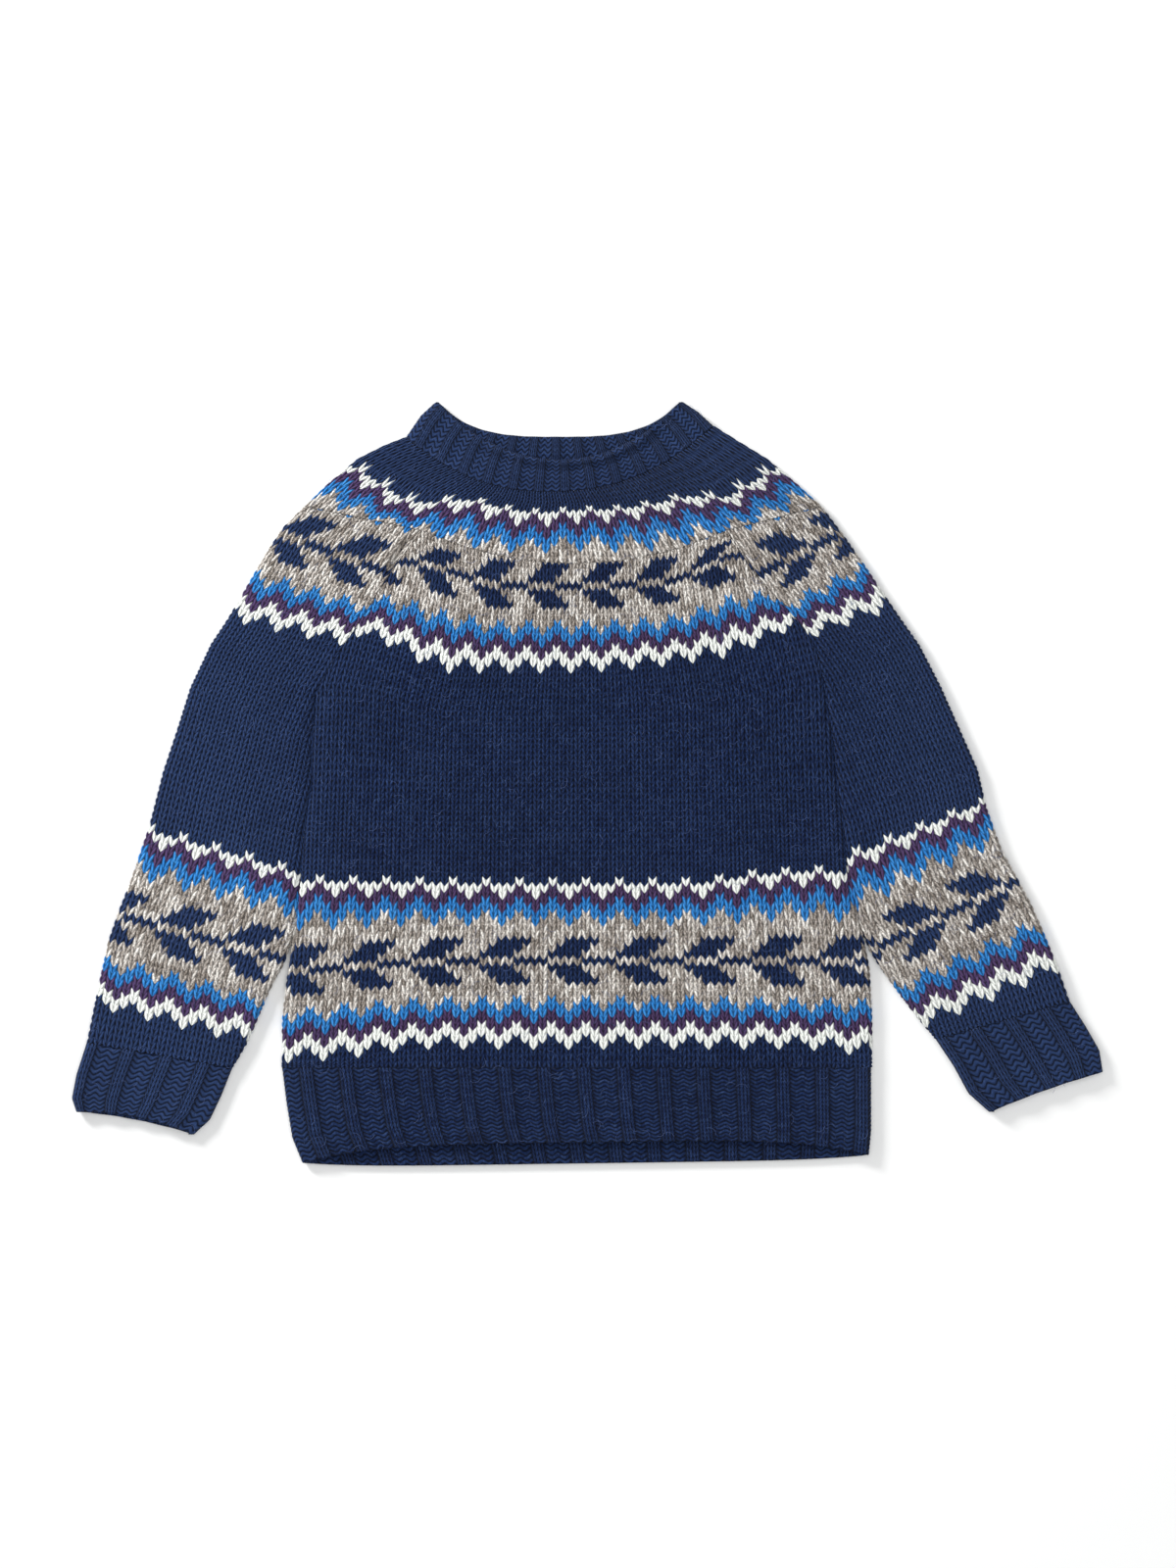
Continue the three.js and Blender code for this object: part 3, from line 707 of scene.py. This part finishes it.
    colour = add(tree, "ShaderNodeMix", {
        0: toDark,
        6: colour,
        7: toLinear(look["dark"]),
    }, data_type="RGBA").outputs[2]
    # painted sheen: the sleeves and the neck are painted a little paler than the middle of the body
    placeX, placeY, _ = add(tree, "ShaderNodeSeparateXYZ", {0: place}).outputs
    spot = add(tree, "ShaderNodeCombineXYZ", {
        0: placeX,
        1: add(tree, "ShaderNodeMath", {0: placeY, 1: 0.0}, operation="MAXIMUM").outputs[0],
    }).outputs[0]
    distance = add(tree, "ShaderNodeVectorMath", {0: spot}, operation="LENGTH").outputs["Value"]
    paintedSheen = add(tree, "ShaderNodeMapRange", {
        0: distance,
        1: 0.19,
        2: 0.31,
        4: look["paintedSheen"],
    }).outputs[0]
    colour = add(tree, "ShaderNodeMix", {
        0: paintedSheen,
        6: colour,
        7: toLinear(look["light"]),
    }, data_type="RGBA").outputs[2]
    # painted shade and highlight: the colour is darker down between the legs and courses, as dark as gap
    # sets, and a little lighter on the crests of the legs
    light = add(tree, "ShaderNodeMapRange", {
        0: height,
        1: 0.05,
        2: 0.85,
        3: look["gap"],
        4: 1.15,
    }).outputs[0]
    if rib:
        # painted shade: dark lines where plain turns to purl, where the wales draw in, and the purl wales,
        # which lie lower, painted darker than the plain ones
        edge = add(tree, "ShaderNodeMath", {
            0: add(tree, "ShaderNodeMath", {0: turn, 1: knitShare}, operation="SUBTRACT").outputs[0],
        }, operation="ABSOLUTE").outputs[0]
        edge = add(tree, "ShaderNodeMath", {
            0: edge,
            1: add(tree, "ShaderNodeMath", {
                0: turn,
                1: add(tree, "ShaderNodeMath", {0: 1.0, 1: turn}, operation="SUBTRACT").outputs[0],
            }, operation="MINIMUM").outputs[0],
        }, operation="MINIMUM").outputs[0]
        paintedRibShade = add(tree, "ShaderNodeMapRange", {0: edge, 1: 0.0, 2: 0.08, 3: 0.42, 4: 1.0}).outputs[0]
        paintedRibShade = add(tree, "ShaderNodeMath", {
            0: paintedRibShade,
            1: add(tree, "ShaderNodeMath", {
                0: knit,
                1: 0.2,
                2: 0.91,
            }, operation="MULTIPLY_ADD").outputs[0],
        }, operation="MULTIPLY").outputs[0]
        light = add(tree, "ShaderNodeMath", {0: light, 1: paintedRibShade}, operation="MULTIPLY").outputs[0]
    # the wool is darker in some handfuls than in others
    patch = add(tree, "ShaderNodeTexNoise", {
        0: place,
        "Scale": 14.0,
        "Detail": 3.0,
        "Roughness": 0.6,
    }).outputs[0]
    patch = add(tree, "ShaderNodeMath", {
        0: patch,
        1: look["streaks"],
        2: 1 - look["streaks"] / 2,
    }, operation="MULTIPLY_ADD").outputs[0]
    light = add(tree, "ShaderNodeMath", {0: light, 1: patch}, operation="MULTIPLY").outputs[0]
    colour = add(tree, "ShaderNodeVectorMath", {0: colour, "Scale": light}, operation="SCALE").outputs[0]
    # plies and fine hairs over the leg
    twist = add(tree, "ShaderNodeTexWave", {
        0: place, "Scale": 210.0, "Distortion": 5.0, "Detail": 2.0, "Detail Scale": 2.5,
    }, bands_direction="DIAGONAL").outputs[1]
    hairs = add(tree, "ShaderNodeTexNoise", {
        0: place,
        "Scale": 1500.0,
        "Detail": 2.0,
        "Roughness": 0.5,
    }).outputs[0]
    rough = add(tree, "ShaderNodeMath", {
        0: hairs,
        1: 0.28,
        2: add(tree, "ShaderNodeMath", {0: twist, 1: 0.1}, operation="MULTIPLY").outputs[0],
    }, operation="MULTIPLY_ADD").outputs[0]
    total = add(tree, "ShaderNodeMath", {
        0: add(tree, "ShaderNodeMath", {0: height, 1: 0.8}, operation="MULTIPLY").outputs[0],
        1: rough,
    }, operation="ADD").outputs[0]
    bump = add(tree, "ShaderNodeBump", {"Strength": 1.0, "Distance": 0.0017, "Height": total}).outputs[0]
    shader = add(tree, "ShaderNodeBsdfPrincipled", {
        "Base Color": colour, "Roughness": 0.92, "IOR": 1.54, "Specular IOR Level": 0.12,
        "Sheen Weight": look["sheen"], "Sheen Roughness": 0.5, "Normal": bump,
    }).outputs[0]
    add(tree, "ShaderNodeOutputMaterial", {0: shader})
    return material


wools = [woolMaterial(name, woolSettings[name]) for name in yarns]
ribWool = woolMaterial("navy", woolSettings["navy"], rib=True)
print("wools made", flush=True)


def named(tree, name, kind):
    found = add(tree, "GeometryNodeInputNamedAttribute", {"Name": name}, data_type=kind).outputs
    return [socket for socket in found if socket.name == "Attribute" and socket.enabled][0]


def clothTree(name, labels):
    # takes cloth and a size for each label, and gives cloth
    tree = bpy.data.node_groups.new(name, "GeometryNodeTree")
    tree.interface.new_socket("Cloth", in_out="INPUT", socket_type="NodeSocketGeometry")
    tree.interface.new_socket("Cloth", in_out="OUTPUT", socket_type="NodeSocketGeometry")
    for label in labels:
        tree.interface.new_socket(label, in_out="INPUT", socket_type="NodeSocketFloat")
    return tree, add(tree, "NodeGroupInput").outputs


# in millimetres
stitchRelief = {
    "Loft": 0.35, "Leg height": 0.9, "Course groove": 0.45, "Wale groove": 0.7, "Rib height": 0,
    "Ripple height": 0,
}
ribRelief = {
    "Loft": 0.2, "Leg height": 0, "Course groove": 0, "Wale groove": 0, "Rib height": 0.8,
    "Ripple height": 0.5,
}


def reliefTree():
    # raises the two legs of each stitch, sinks the gaps between courses and wales, and makes ribs
    tree, given = clothTree("knit relief", stitchRelief)
    stitch = named(tree, "stitch", "FLOAT_VECTOR")
    u, v, strength = add(tree, "ShaderNodeSeparateXYZ", {0: stitch}).outputs
    side = sideOf(tree, u)
    legs = add(tree, "ShaderNodeMath", {
        0: add(tree, "ShaderNodeMath", {0: side, 1: math.pi}, operation="MULTIPLY").outputs[0],
    }, operation="SINE").outputs[0]
    course = add(tree, "ShaderNodeMath", {
        0: add(tree, "ShaderNodeMath", {
            0: phaseOf(tree, v),
            1: math.pi,
        }, operation="MULTIPLY").outputs[0],
    }, operation="SINE").outputs[0]
    legRise = add(tree, "ShaderNodeMath", {
        0: legs,
        1: add(tree, "ShaderNodeMath", {
            0: course,
            1: 0.7,
            2: 0.3,
        }, operation="MULTIPLY_ADD").outputs[0],
    }, operation="MULTIPLY").outputs[0]
    height = add(tree, "ShaderNodeMath", {
        0: legRise,
        1: given["Leg height"],
        2: given["Loft"],
    }, operation="MULTIPLY_ADD").outputs[0]
    dip = add(tree, "ShaderNodeMath", {
        0: add(tree, "ShaderNodeMath", {0: 1.0, 1: course}, operation="SUBTRACT").outputs[0],
        1: given["Course groove"],
    }, operation="MULTIPLY").outputs[0]
    height = add(tree, "ShaderNodeMath", {0: height, 1: dip}, operation="SUBTRACT").outputs[0]
    dip = add(tree, "ShaderNodeMath", {
        0: add(tree, "ShaderNodeMath", {0: side, 1: 3.0}, operation="POWER").outputs[0],
        1: given["Wale groove"],
    }, operation="MULTIPLY").outputs[0]
    height = add(tree, "ShaderNodeMath", {0: height, 1: dip}, operation="SUBTRACT").outputs[0]
    # the middle of the plain wales lies half of knitShare into the four stitches
    rib = add(tree, "ShaderNodeMath", {
        0: add(tree, "ShaderNodeMath", {
            0: add(tree, "ShaderNodeMath", {0: u, 1: 2 * knitShare}, operation="SUBTRACT").outputs[0],
            1: math.pi / 2,
        }, operation="MULTIPLY").outputs[0],
    }, operation="COSINE").outputs[0]
    height = add(tree, "ShaderNodeMath", {
        0: rib,
        1: given["Rib height"],
        2: height,
    }, operation="MULTIPLY_ADD").outputs[0]
    purl = add(tree, "ShaderNodeMath", {0: rib, 1: -0.5, 2: 0.5}, operation="MULTIPLY_ADD").outputs[0]
    ripple = add(tree, "ShaderNodeMath", {
        0: add(tree, "ShaderNodeMath", {0: course, 1: 0.5}, operation="SUBTRACT").outputs[0],
        1: given["Ripple height"],
    }, operation="MULTIPLY").outputs[0]
    height = add(tree, "ShaderNodeMath", {
        0: ripple,
        1: purl,
        2: height,
    }, operation="MULTIPLY_ADD").outputs[0]
    height = add(tree, "ShaderNodeMath", {0: height, 1: strength}, operation="MULTIPLY").outputs[0]
    push = add(tree, "ShaderNodeVectorMath", {
        0: named(tree, "push", "FLOAT_VECTOR"), "Scale": height,
    }, operation="SCALE").outputs[0]
    cloth = add(tree, "GeometryNodeSetPosition", {"Geometry": given["Cloth"], "Offset": push}).outputs[0]
    cloth = add(tree, "GeometryNodeRealizeInstances", {0: cloth}).outputs[0]
    kind = named(tree, "yarn", "INT")
    for number, wool in enumerate(wools + [ribWool]):
        isThis = add(tree, "FunctionNodeCompare", {2: kind, 3: number}, data_type="INT", operation="EQUAL")
        cloth = add(tree, "GeometryNodeSetMaterial", {
            "Geometry": cloth, "Selection": isThis.outputs[0], "Material": wool,
        }).outputs[0]
    add(tree, "NodeGroupOutput", {0: cloth})
    return tree


relief = reliefTree()


def bakeDown(piece, tree, sizes, allLayers=True):
    # the piece keeps the mesh that the node tree makes with these sizes
    modifier = piece.modifiers.new(tree.name, "NODES")
    modifier.node_group = tree
    sockets = {s.name: s.identifier for s in tree.interface.items_tree if s.in_out == "INPUT"}
    for label, size in sizes.items():
        modifier[sockets[label]] = size
    bpy.context.view_layer.update()
    graph = bpy.context.evaluated_depsgraph_get()
    shown = piece.evaluated_get(graph)
    old = piece.data
    piece.data = bpy.data.meshes.new_from_object(shown, preserve_all_data_layers=allLayers, depsgraph=graph)
    piece.data.name = piece.name
    piece.modifiers.remove(modifier)
    bpy.data.meshes.remove(old)
    triangles = sum(len(p.vertices) - 2 for p in piece.data.polygons)
    print(piece.name, "triangles", triangles, flush=True)


def makeCloth(name, placeBy, settings):
    piece = knitShell(name, placeBy(settings), settings)
    bakeDown(piece, relief, {label: size * 0.001 for label, size in settings["relief"].items()})
    return piece


# rows are courses and columns are stitches, quads the faces of a stitch across and down,
# and creases are lines of plan points with a half width and a rise
panelSettings = dict(
    quads=(4, 3), vRise=vRise, closed=False, charted=True, lastCourse=26, joined=(True, True),
    relief=stitchRelief,
)
frontSettings = dict(
    panelSettings, upper=True, rows=(-57, 28.5), columns=(-38, 38), chartShifts=(0, 0, 0, 0, 4, 0),
    innerStep=24, chartCentre=-1.7, widthCourses=[-57, -50, -37, -30, -10, 0, 26],
    stitchWidths=[5.9, 6.0, 6.7, 7.1, 7.24, 7.3, 7.7],
    creases=[
        ([(-157, 216), (-167, 200), (-179, 180)], 2.4, -3.9),
        ([(-150, 210), (-159, 195), (-171, 176)], 4.0, 1.6),
        ([(121, 190), (116, 173), (112, 156)], 4.0, -1.8),
        ([(130, 186), (126, 170), (121, 152)], 5.0, 1.2),
        ([(-238, 95), (-242, 34), (-243, -1), (-249, -40), (-252, -87), (-258, -134)], 6.0, -2.2),
        ([(206, 95), (213, 46), (217, 5), (223, -38), (228, -82), (238, -124)], 5.0, -1.6),
        ([(-236, 84), (-222, 70), (-196, 58)], 6.0, -0.8),
        ([(-238, 60), (-214, 38), (-180, 26)], 7.0, 0.6),
        ([(205, 82), (188, 64), (160, 50)], 7.0, -0.7),
        ([(-244, -60), (-215, -66), (-180, -60)], 6.0, -0.5),
        ([(222, -60), (196, -64), (150, -56)], 7.0, 0.5),
        ([(-90, -8), (-20, -20), (60, -14)], 10.0, -0.4),
        ([(-250, -215), (-200, -207), (-150, -210)], 6.0, 0.5),
        ([(150, -205), (200, -212), (244, -208)], 7.0, -0.5),
    ],
)
front = makeCloth("front_panel", bodyPlace, frontSettings)
backSettings = dict(frontSettings, upper=False, quads=(4, 2), creases=[])
back = makeCloth("back_panel", bodyPlace, backSettings)

leftSleeveSettings = dict(
    panelSettings, sections=leftSleeveSections, outerStart=-55.2, innerStart=-57,
    knotCourses=[-50, -37, -15, 3, 7, 17, 26, 30.2],
    outerSections=[0, 1.41, 4.05, 6.92, 9.39, 9.96, 12.27, 13.82, 15.0],
    innerSections=[0, 1.5, 3.47, 6.8, 9.13, 9.72, 12.14, 14.0, 15.0],
    widthCourses=[-55, -37, -15, 3, 26], stitchWidths=[6.6, 6.9, 7.3, 7.6, 7.8], phase=0.5,
    rows=(-57, 30.2), columns=(-24, 24), chartShifts=(0, 0, 0, 0, 3, 0), innerStep=16,
    creases=[
        ([(-157, 216), (-167, 200), (-179, 180)], 2.4, -3.9),
        ([(-168, 214), (-177, 199), (-188, 182)], 4.0, 1.4),
        ([(-238, 95), (-244, 34), (-245, -1), (-250, -40), (-254, -87), (-260, -134)], 6.0, -2.2),
        ([(-252, 76), (-272, 62), (-300, 58)], 6.5, -0.8),
        ([(-254, 44), (-280, 26), (-312, 22)], 7.5, 0.7),
        ([(-262, -30), (-290, -44), (-330, -40)], 8.0, -0.6),
        ([(-350, 40), (-340, 10), (-344, -24)], 8.0, 0.5),
        ([(-300, -150), (-330, -160), (-368, -146)], 7.0, -0.6),
        ([(-318, -206), (-352, -206), (-390, -190)], 7.0, 0.5),
    ],
)
leftSleeve = makeCloth("left_sleeve_knit", sleevePlace, leftSleeveSettings)
rightSleeveSettings = dict(
    leftSleeveSettings, sections=rightSleeveSections, knotCourses=[-50, -37, -15, 3, 7, 17, 26, 29.4],
    outerSections=[0, 1.13, 3.78, 6.72, 9.18, 9.92, 12.42, 14.14, 15.0],
    innerSections=[0, 1.38, 3.54, 6.42, 8.99, 9.76, 12.38, 14.49, 15.0],
    rows=(-57, 29.4), columns=(-22, 22), chartShifts=(0, 3, 0, 0, 6, 2),
    creases=[
        ([(206, 95), (215, 46), (219, 5), (225, -38), (230, -82), (240, -124)], 5.0, -1.6),
        ([(214, 84), (232, 66), (262, 58)], 6.5, -0.8), ([(222, 40), (250, 30), (286, 36)], 7.5, 0.7),
        ([(230, -30), (262, -44), (300, -38)], 7.5, -0.7),
        ([(236, -96), (262, -84), (300, -88)], 6.5, 0.6),
        ([(296, 60), (300, 20), (318, -10)], 8.0, -0.5),
        ([(300, -150), (330, -146), (366, -122)], 7.0, 0.5),
        ([(312, -200), (344, -190), (384, -164)], 7.0, -0.6),
    ],
)
rightSleeve = makeCloth("right_sleeve_knit", sleevePlace, rightSleeveSettings)

yokeSettings = dict(
    sections=yokeSections, stitches=60, rows=(-68, -54.3), columns=(-30, 90), quads=(6, 3), vRise=vRise,
    closed=True, charted=True, chartShifts=(0, 0, 0, 0, 4, 0), lastCourse=8, innerStep=12,
    joined=(True, True), relief=stitchRelief, creases=[], evenAt=0.6,
    # plan points of the white zigzag, its height from course -63 to -60, and its share at the back
    zigzagLine=[(-215, 268.5), (-188, 250.5), (-168, 236.5), (-149, 234.5), (-127, 236), (-107, 235.5),
                (-79, 227), (-49, 223), (-4, 227), (26, 227.5), (60, 232), (97, 241), (118, 240.5),
                (131, 241), (145, 250.5), (169, 264.5), (180, 271)],
    zigzagHeight=16.5, zigzagBehind=0.46,
    topFront=lambda s: hang(s, 53, 2.3), footFront=yokeSeamHang,
    topBack=lambda s: hang(s, 42, 2.8), footBack=yokeSeamHang,
)
yoke = makeCloth("yoke_knit", ringPlace, yokeSettings)

neckSettings = dict(
    sections=neckSections, stitches=52, rows=(0, 8), columns=(-26, 78), quads=(4, 3), vRise=0,
    closed=True, charted=False, innerStep=1, innerRelief=1, joined=(False, True), relief=ribRelief,
    creases=[
        ([(-128, 329), (-120, 316), (-98, 299), (-66, 286), (-25, 280), (12, 284), (46, 300), (70, 322),
          (78, 329)], 2.4, 2.4),
        ([(-134, 322), (-124, 309), (-100, 292), (-66, 279), (-25, 273), (14, 277), (50, 293), (76, 316),
          (84, 323)], 2.4, -1.2),
    ],
    evenAt=0.5, topFront=lambda s: hang(s, 50, 2) - neckRoll(s), footFront=lambda s: hang(s, 53, 2.3),
    topBack=lambda s: hang(s, 29.5, 3.2) - neckRoll(s), footBack=lambda s: hang(s, 42, 2.8),
)
neck = makeCloth("neckband_knit", ringPlace, neckSettings)

hemSettings = dict(
    sections=hemSections, stitches=60, rows=(0, 19), columns=(-30, 30), quads=(4, 3), vRise=0,
    closed=False, charted=False, innerStep=4, joined=(True, False), relief=ribRelief, evenAt=0.5,
    creases=[
        ([(-262, -330), (-238, -319), (-205, -312), (-100, -309), (0, -308.5), (100, -307), (200, -306),
          (235, -310), (258, -320)], 4.0, 1.1),
    ],
    topFront=level, footFront=lambda s: hang(s, -15, 4.6), topBack=level, footBack=lambda s: hang(s, 4, 6),
)
hemFront = makeCloth("hem_rib_front_knit", ringPlace, hemSettings)
hemBack = makeCloth("hem_rib_back_knit", ringPlace, dict(hemSettings, columns=(30, 90)))

leftCuffSettings = dict(
    sections=[(c, d, a, b) for a, b, c, d in leftCuffSections], stitches=16, rows=(0, 13), columns=(-8, 24),
    quads=(6, 3), vRise=0, closed=True, charted=False, innerStep=1, innerRelief=1, joined=(True, False),
    relief=ribRelief, creases=[], evenAt=0.5,
    topFront=level, footFront=lambda s: hang(s, -6, 2), topBack=level, footBack=lambda s: hang(s, -3, 2),
)
leftCuff = makeCloth("left_cuff_knit", ringPlace, leftCuffSettings)
rightCuffSettings = dict(
    leftCuffSettings, sections=rightCuffSections,
    footFront=lambda s: hang(s, -2, 2), footBack=lambda s: hang(s, -2, 2),
)
rightCuff = makeCloth("right_cuff_knit", ringPlace, rightCuffSettings)

# which solid each piece stands for, its slot and its cut laid flat
around = [
    (front, "front", "panel_wool", (0.53, 0.47), 0.215),
    (back, "back", "panel_wool", (0.53, 0.47), 0.215),
    (leftSleeve, "left_sleeve", "panel_wool", (0.28, 0.50), 0.125),
    (rightSleeve, "right_sleeve", "panel_wool", (0.26, 0.47), 0.110),
    (yoke, "yoke_ring", "yoke_wool", (0.96, 0.09), 0.065),
    (neck, "neckband", "rib_wool", (0.56, 0.035), 0.017),
    (hemFront, "hem_rib_front", "rib_wool", (0.53, 0.075), 0.037),
    (hemBack, "hem_rib_back", "rib_wool", (0.53, 0.082), 0.041),
    (leftCuff, "left_cuff", "rib_wool", (0.25, 0.06), 0.014),
    (rightCuff, "right_cuff", "rib_wool", (0.24, 0.06), 0.013),
]
for piece, node, slot, flat, area in around:
    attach(piece, "root")
    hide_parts(node)
print("cloth tied to the frame", flush=True)


def hairTree(pieces, wool, labels):
    # loose hairs and lint that lie on the knitting, thin three-sided threads with a bend in them
    tree, given = clothTree("loose hairs", labels)
    joined = add(tree, "GeometryNodeJoinGeometry")
    for piece in pieces:
        shape = add(tree, "GeometryNodeObjectInfo", {"Object": piece}).outputs["Geometry"]
        tree.links.new(shape, joined.inputs[0])
    # only on faces of the top layer that look up
    normal = add(tree, "GeometryNodeInputNormal").outputs[0]
    point = add(tree, "GeometryNodeInputPosition").outputs[0]
    up = add(tree, "ShaderNodeSeparateXYZ", {0: normal}).outputs[2]
    high = add(tree, "ShaderNodeSeparateXYZ", {0: point}).outputs[2]
    up = add(tree, "ShaderNodeMath", {0: up, 1: 0.45}, operation="GREATER_THAN").outputs[0]
    top = add(tree, "ShaderNodeMath", {
        0: up,
        1: add(tree, "ShaderNodeMath", {0: high, 1: 0.0066}, operation="GREATER_THAN").outputs[0],
    }, operation="MULTIPLY").outputs[0]
    spots = add(tree, "GeometryNodeDistributePointsOnFaces", {
        "Mesh": joined.outputs[0], "Selection": top, "Density": given["Hairs per square metre"], "Seed": 7,
    }).outputs["Points"]
    bend = add(tree, "GeometryNodeCurveQuadraticBezier", {
        "Resolution": 4, "Start": (-0.5, 0, 0.0), "Middle": (0.1, 0.5, 0.09), "End": (0.5, -0.1, 0.03),
    }).outputs[0]
    size = add(tree, "ShaderNodeCombineXYZ", {
        0: given["Hair length"], 1: given["Hair length"], 2: given["Hair length"],
    }).outputs[0]
    bend = add(tree, "GeometryNodeTransform", {"Geometry": bend, "Scale": size}).outputs[0]
    section = add(tree, "GeometryNodeCurvePrimitiveCircle", {
        "Resolution": 3, "Radius": given["Hair radius"],
    }).outputs[0]
    thread = add(tree, "GeometryNodeCurveToMesh", {
        "Curve": bend, "Profile Curve": section, "Fill Caps": True,
    }).outputs[0]
    turn = add(tree, "FunctionNodeRandomValue", {
        0: (-0.12, -0.12, 0), 1: (0.12, 0.12, 2 * math.pi), "Seed": 3,
    }, data_type="FLOAT_VECTOR").outputs[0]
    grow = add(tree, "FunctionNodeRandomValue", {2: 0.35, 3: 1.5, "Seed": 5}, data_type="FLOAT").outputs[1]
    hairs = add(tree, "GeometryNodeInstanceOnPoints", {
        "Points": spots, "Instance": thread, "Rotation": turn, "Scale": grow,
    }).outputs[0]
    hairs = add(tree, "GeometryNodeRealizeInstances", {0: hairs}).outputs[0]
    hairs = add(tree, "GeometryNodeSetPosition", {"Geometry": hairs, "Offset": (0, 0, 0.00035)}).outputs[0]
    hairs = add(tree, "GeometryNodeSetMaterial", {"Geometry": hairs, "Material": wool}).outputs[0]
    add(tree, "NodeGroupOutput", {0: hairs})
    return tree


def looseHairs(name, pieces, wool, settings):
    hairs = newObject(name, bpy.data.meshes.new(name))
    bakeDown(hairs, hairTree(pieces, wool, settings), settings, allLayers=False)
    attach(hairs, "root")


def plainMaterial(name, code, roughness, ior):
    material = bpy.data.materials.new(name)
    material.use_nodes = True
    shader = material.node_tree.nodes["Principled BSDF"]
    shader.inputs["Base Color"].default_value = toLinear(code)
    shader.inputs["Roughness"].default_value = roughness
    shader.inputs["IOR"].default_value = ior
    return material


# a single wool fibre is clear and scaly, so it shows as a pale thread; lengths are in metres
hairSettings = {"Hairs per square metre": 5200, "Hair length": 0.007, "Hair radius": 0.00009}
clothes = [front, leftSleeve, rightSleeve, yoke, hemFront, leftCuff, rightCuff, neck]
hairWool = plainMaterial("loose navy hair", "#4a5f92", 0.6, 1.55)
looseHairs("loose_navy_hairs", clothes, hairWool, hairSettings)

# a plain pale floor of painted board, just under the lowest stitches
floorSettings = dict(half=6, high=-0.0013, colour="#f6f6f5", roughness=0.9, ior=1.5)
half, high = floorSettings["half"], floorSettings["high"]
floorMesh = bpy.data.meshes.new("floor")
floorMesh.from_pydata(
    [(-half, -half, high), (half, -half, high), (half, half, high), (-half, half, high)], [], [(0, 1, 2, 3)]
)
floorMesh.materials.append(plainMaterial(
    "pale floor", floorSettings["colour"], floorSettings["roughness"], floorSettings["ior"]
))
floor = newObject("floor", floorMesh)

# soft light from above, and a little more from the upper left: place, size and power
lightSettings = {
    "window side": ((-1.9, 1.7, 1.25), 0.8, 84),
    "overhead": ((0.3, 0.1, 3.4), 2.8, 54),
    "far fill": ((0.9, -2.3, 2.1), 1.8, 14),
}
roomSettings = dict(colour="#eef0f2", strength=0.42)
for name, (place, size, power) in lightSettings.items():
    data = bpy.data.lights.new(name, "AREA")
    data.energy = power
    data.size = size
    lamp = newObject(name, data)
    lamp.location = place
    # turned to face the middle of the jumper
    x, y, z = place
    lamp.rotation_euler = (math.acos(z / math.hypot(x, y, z)), 0, math.atan2(-y, -x) - math.pi / 2)
world = bpy.data.worlds.new("soft room")
world.use_nodes = True
background = world.node_tree.nodes["Background"]
background.inputs["Color"].default_value = toLinear(roomSettings["colour"])
background.inputs["Strength"].default_value = roomSettings["strength"]
scene.world = world
scene.view_settings.view_transform = "Standard"

# straight down; the frame's height takes in 1.376 m of the floor from 3.19 m above the cloth
cameraSettings = dict(place=(0.0005, 0.00044, 3.2), sensor=32, distance=3.19, takesIn=1.376, farEnd=20)
camera = newObject("camera", bpy.data.cameras.new("camera"))
camera.data.sensor_fit = "VERTICAL"
camera.data.sensor_height = cameraSettings["sensor"]
camera.data.lens = cameraSettings["sensor"] * cameraSettings["distance"] / cameraSettings["takesIn"]
camera.data.clip_end = cameraSettings["farEnd"]
camera.location = cameraSettings["place"]
scene.camera = camera
print("floor, lights and camera set", flush=True)
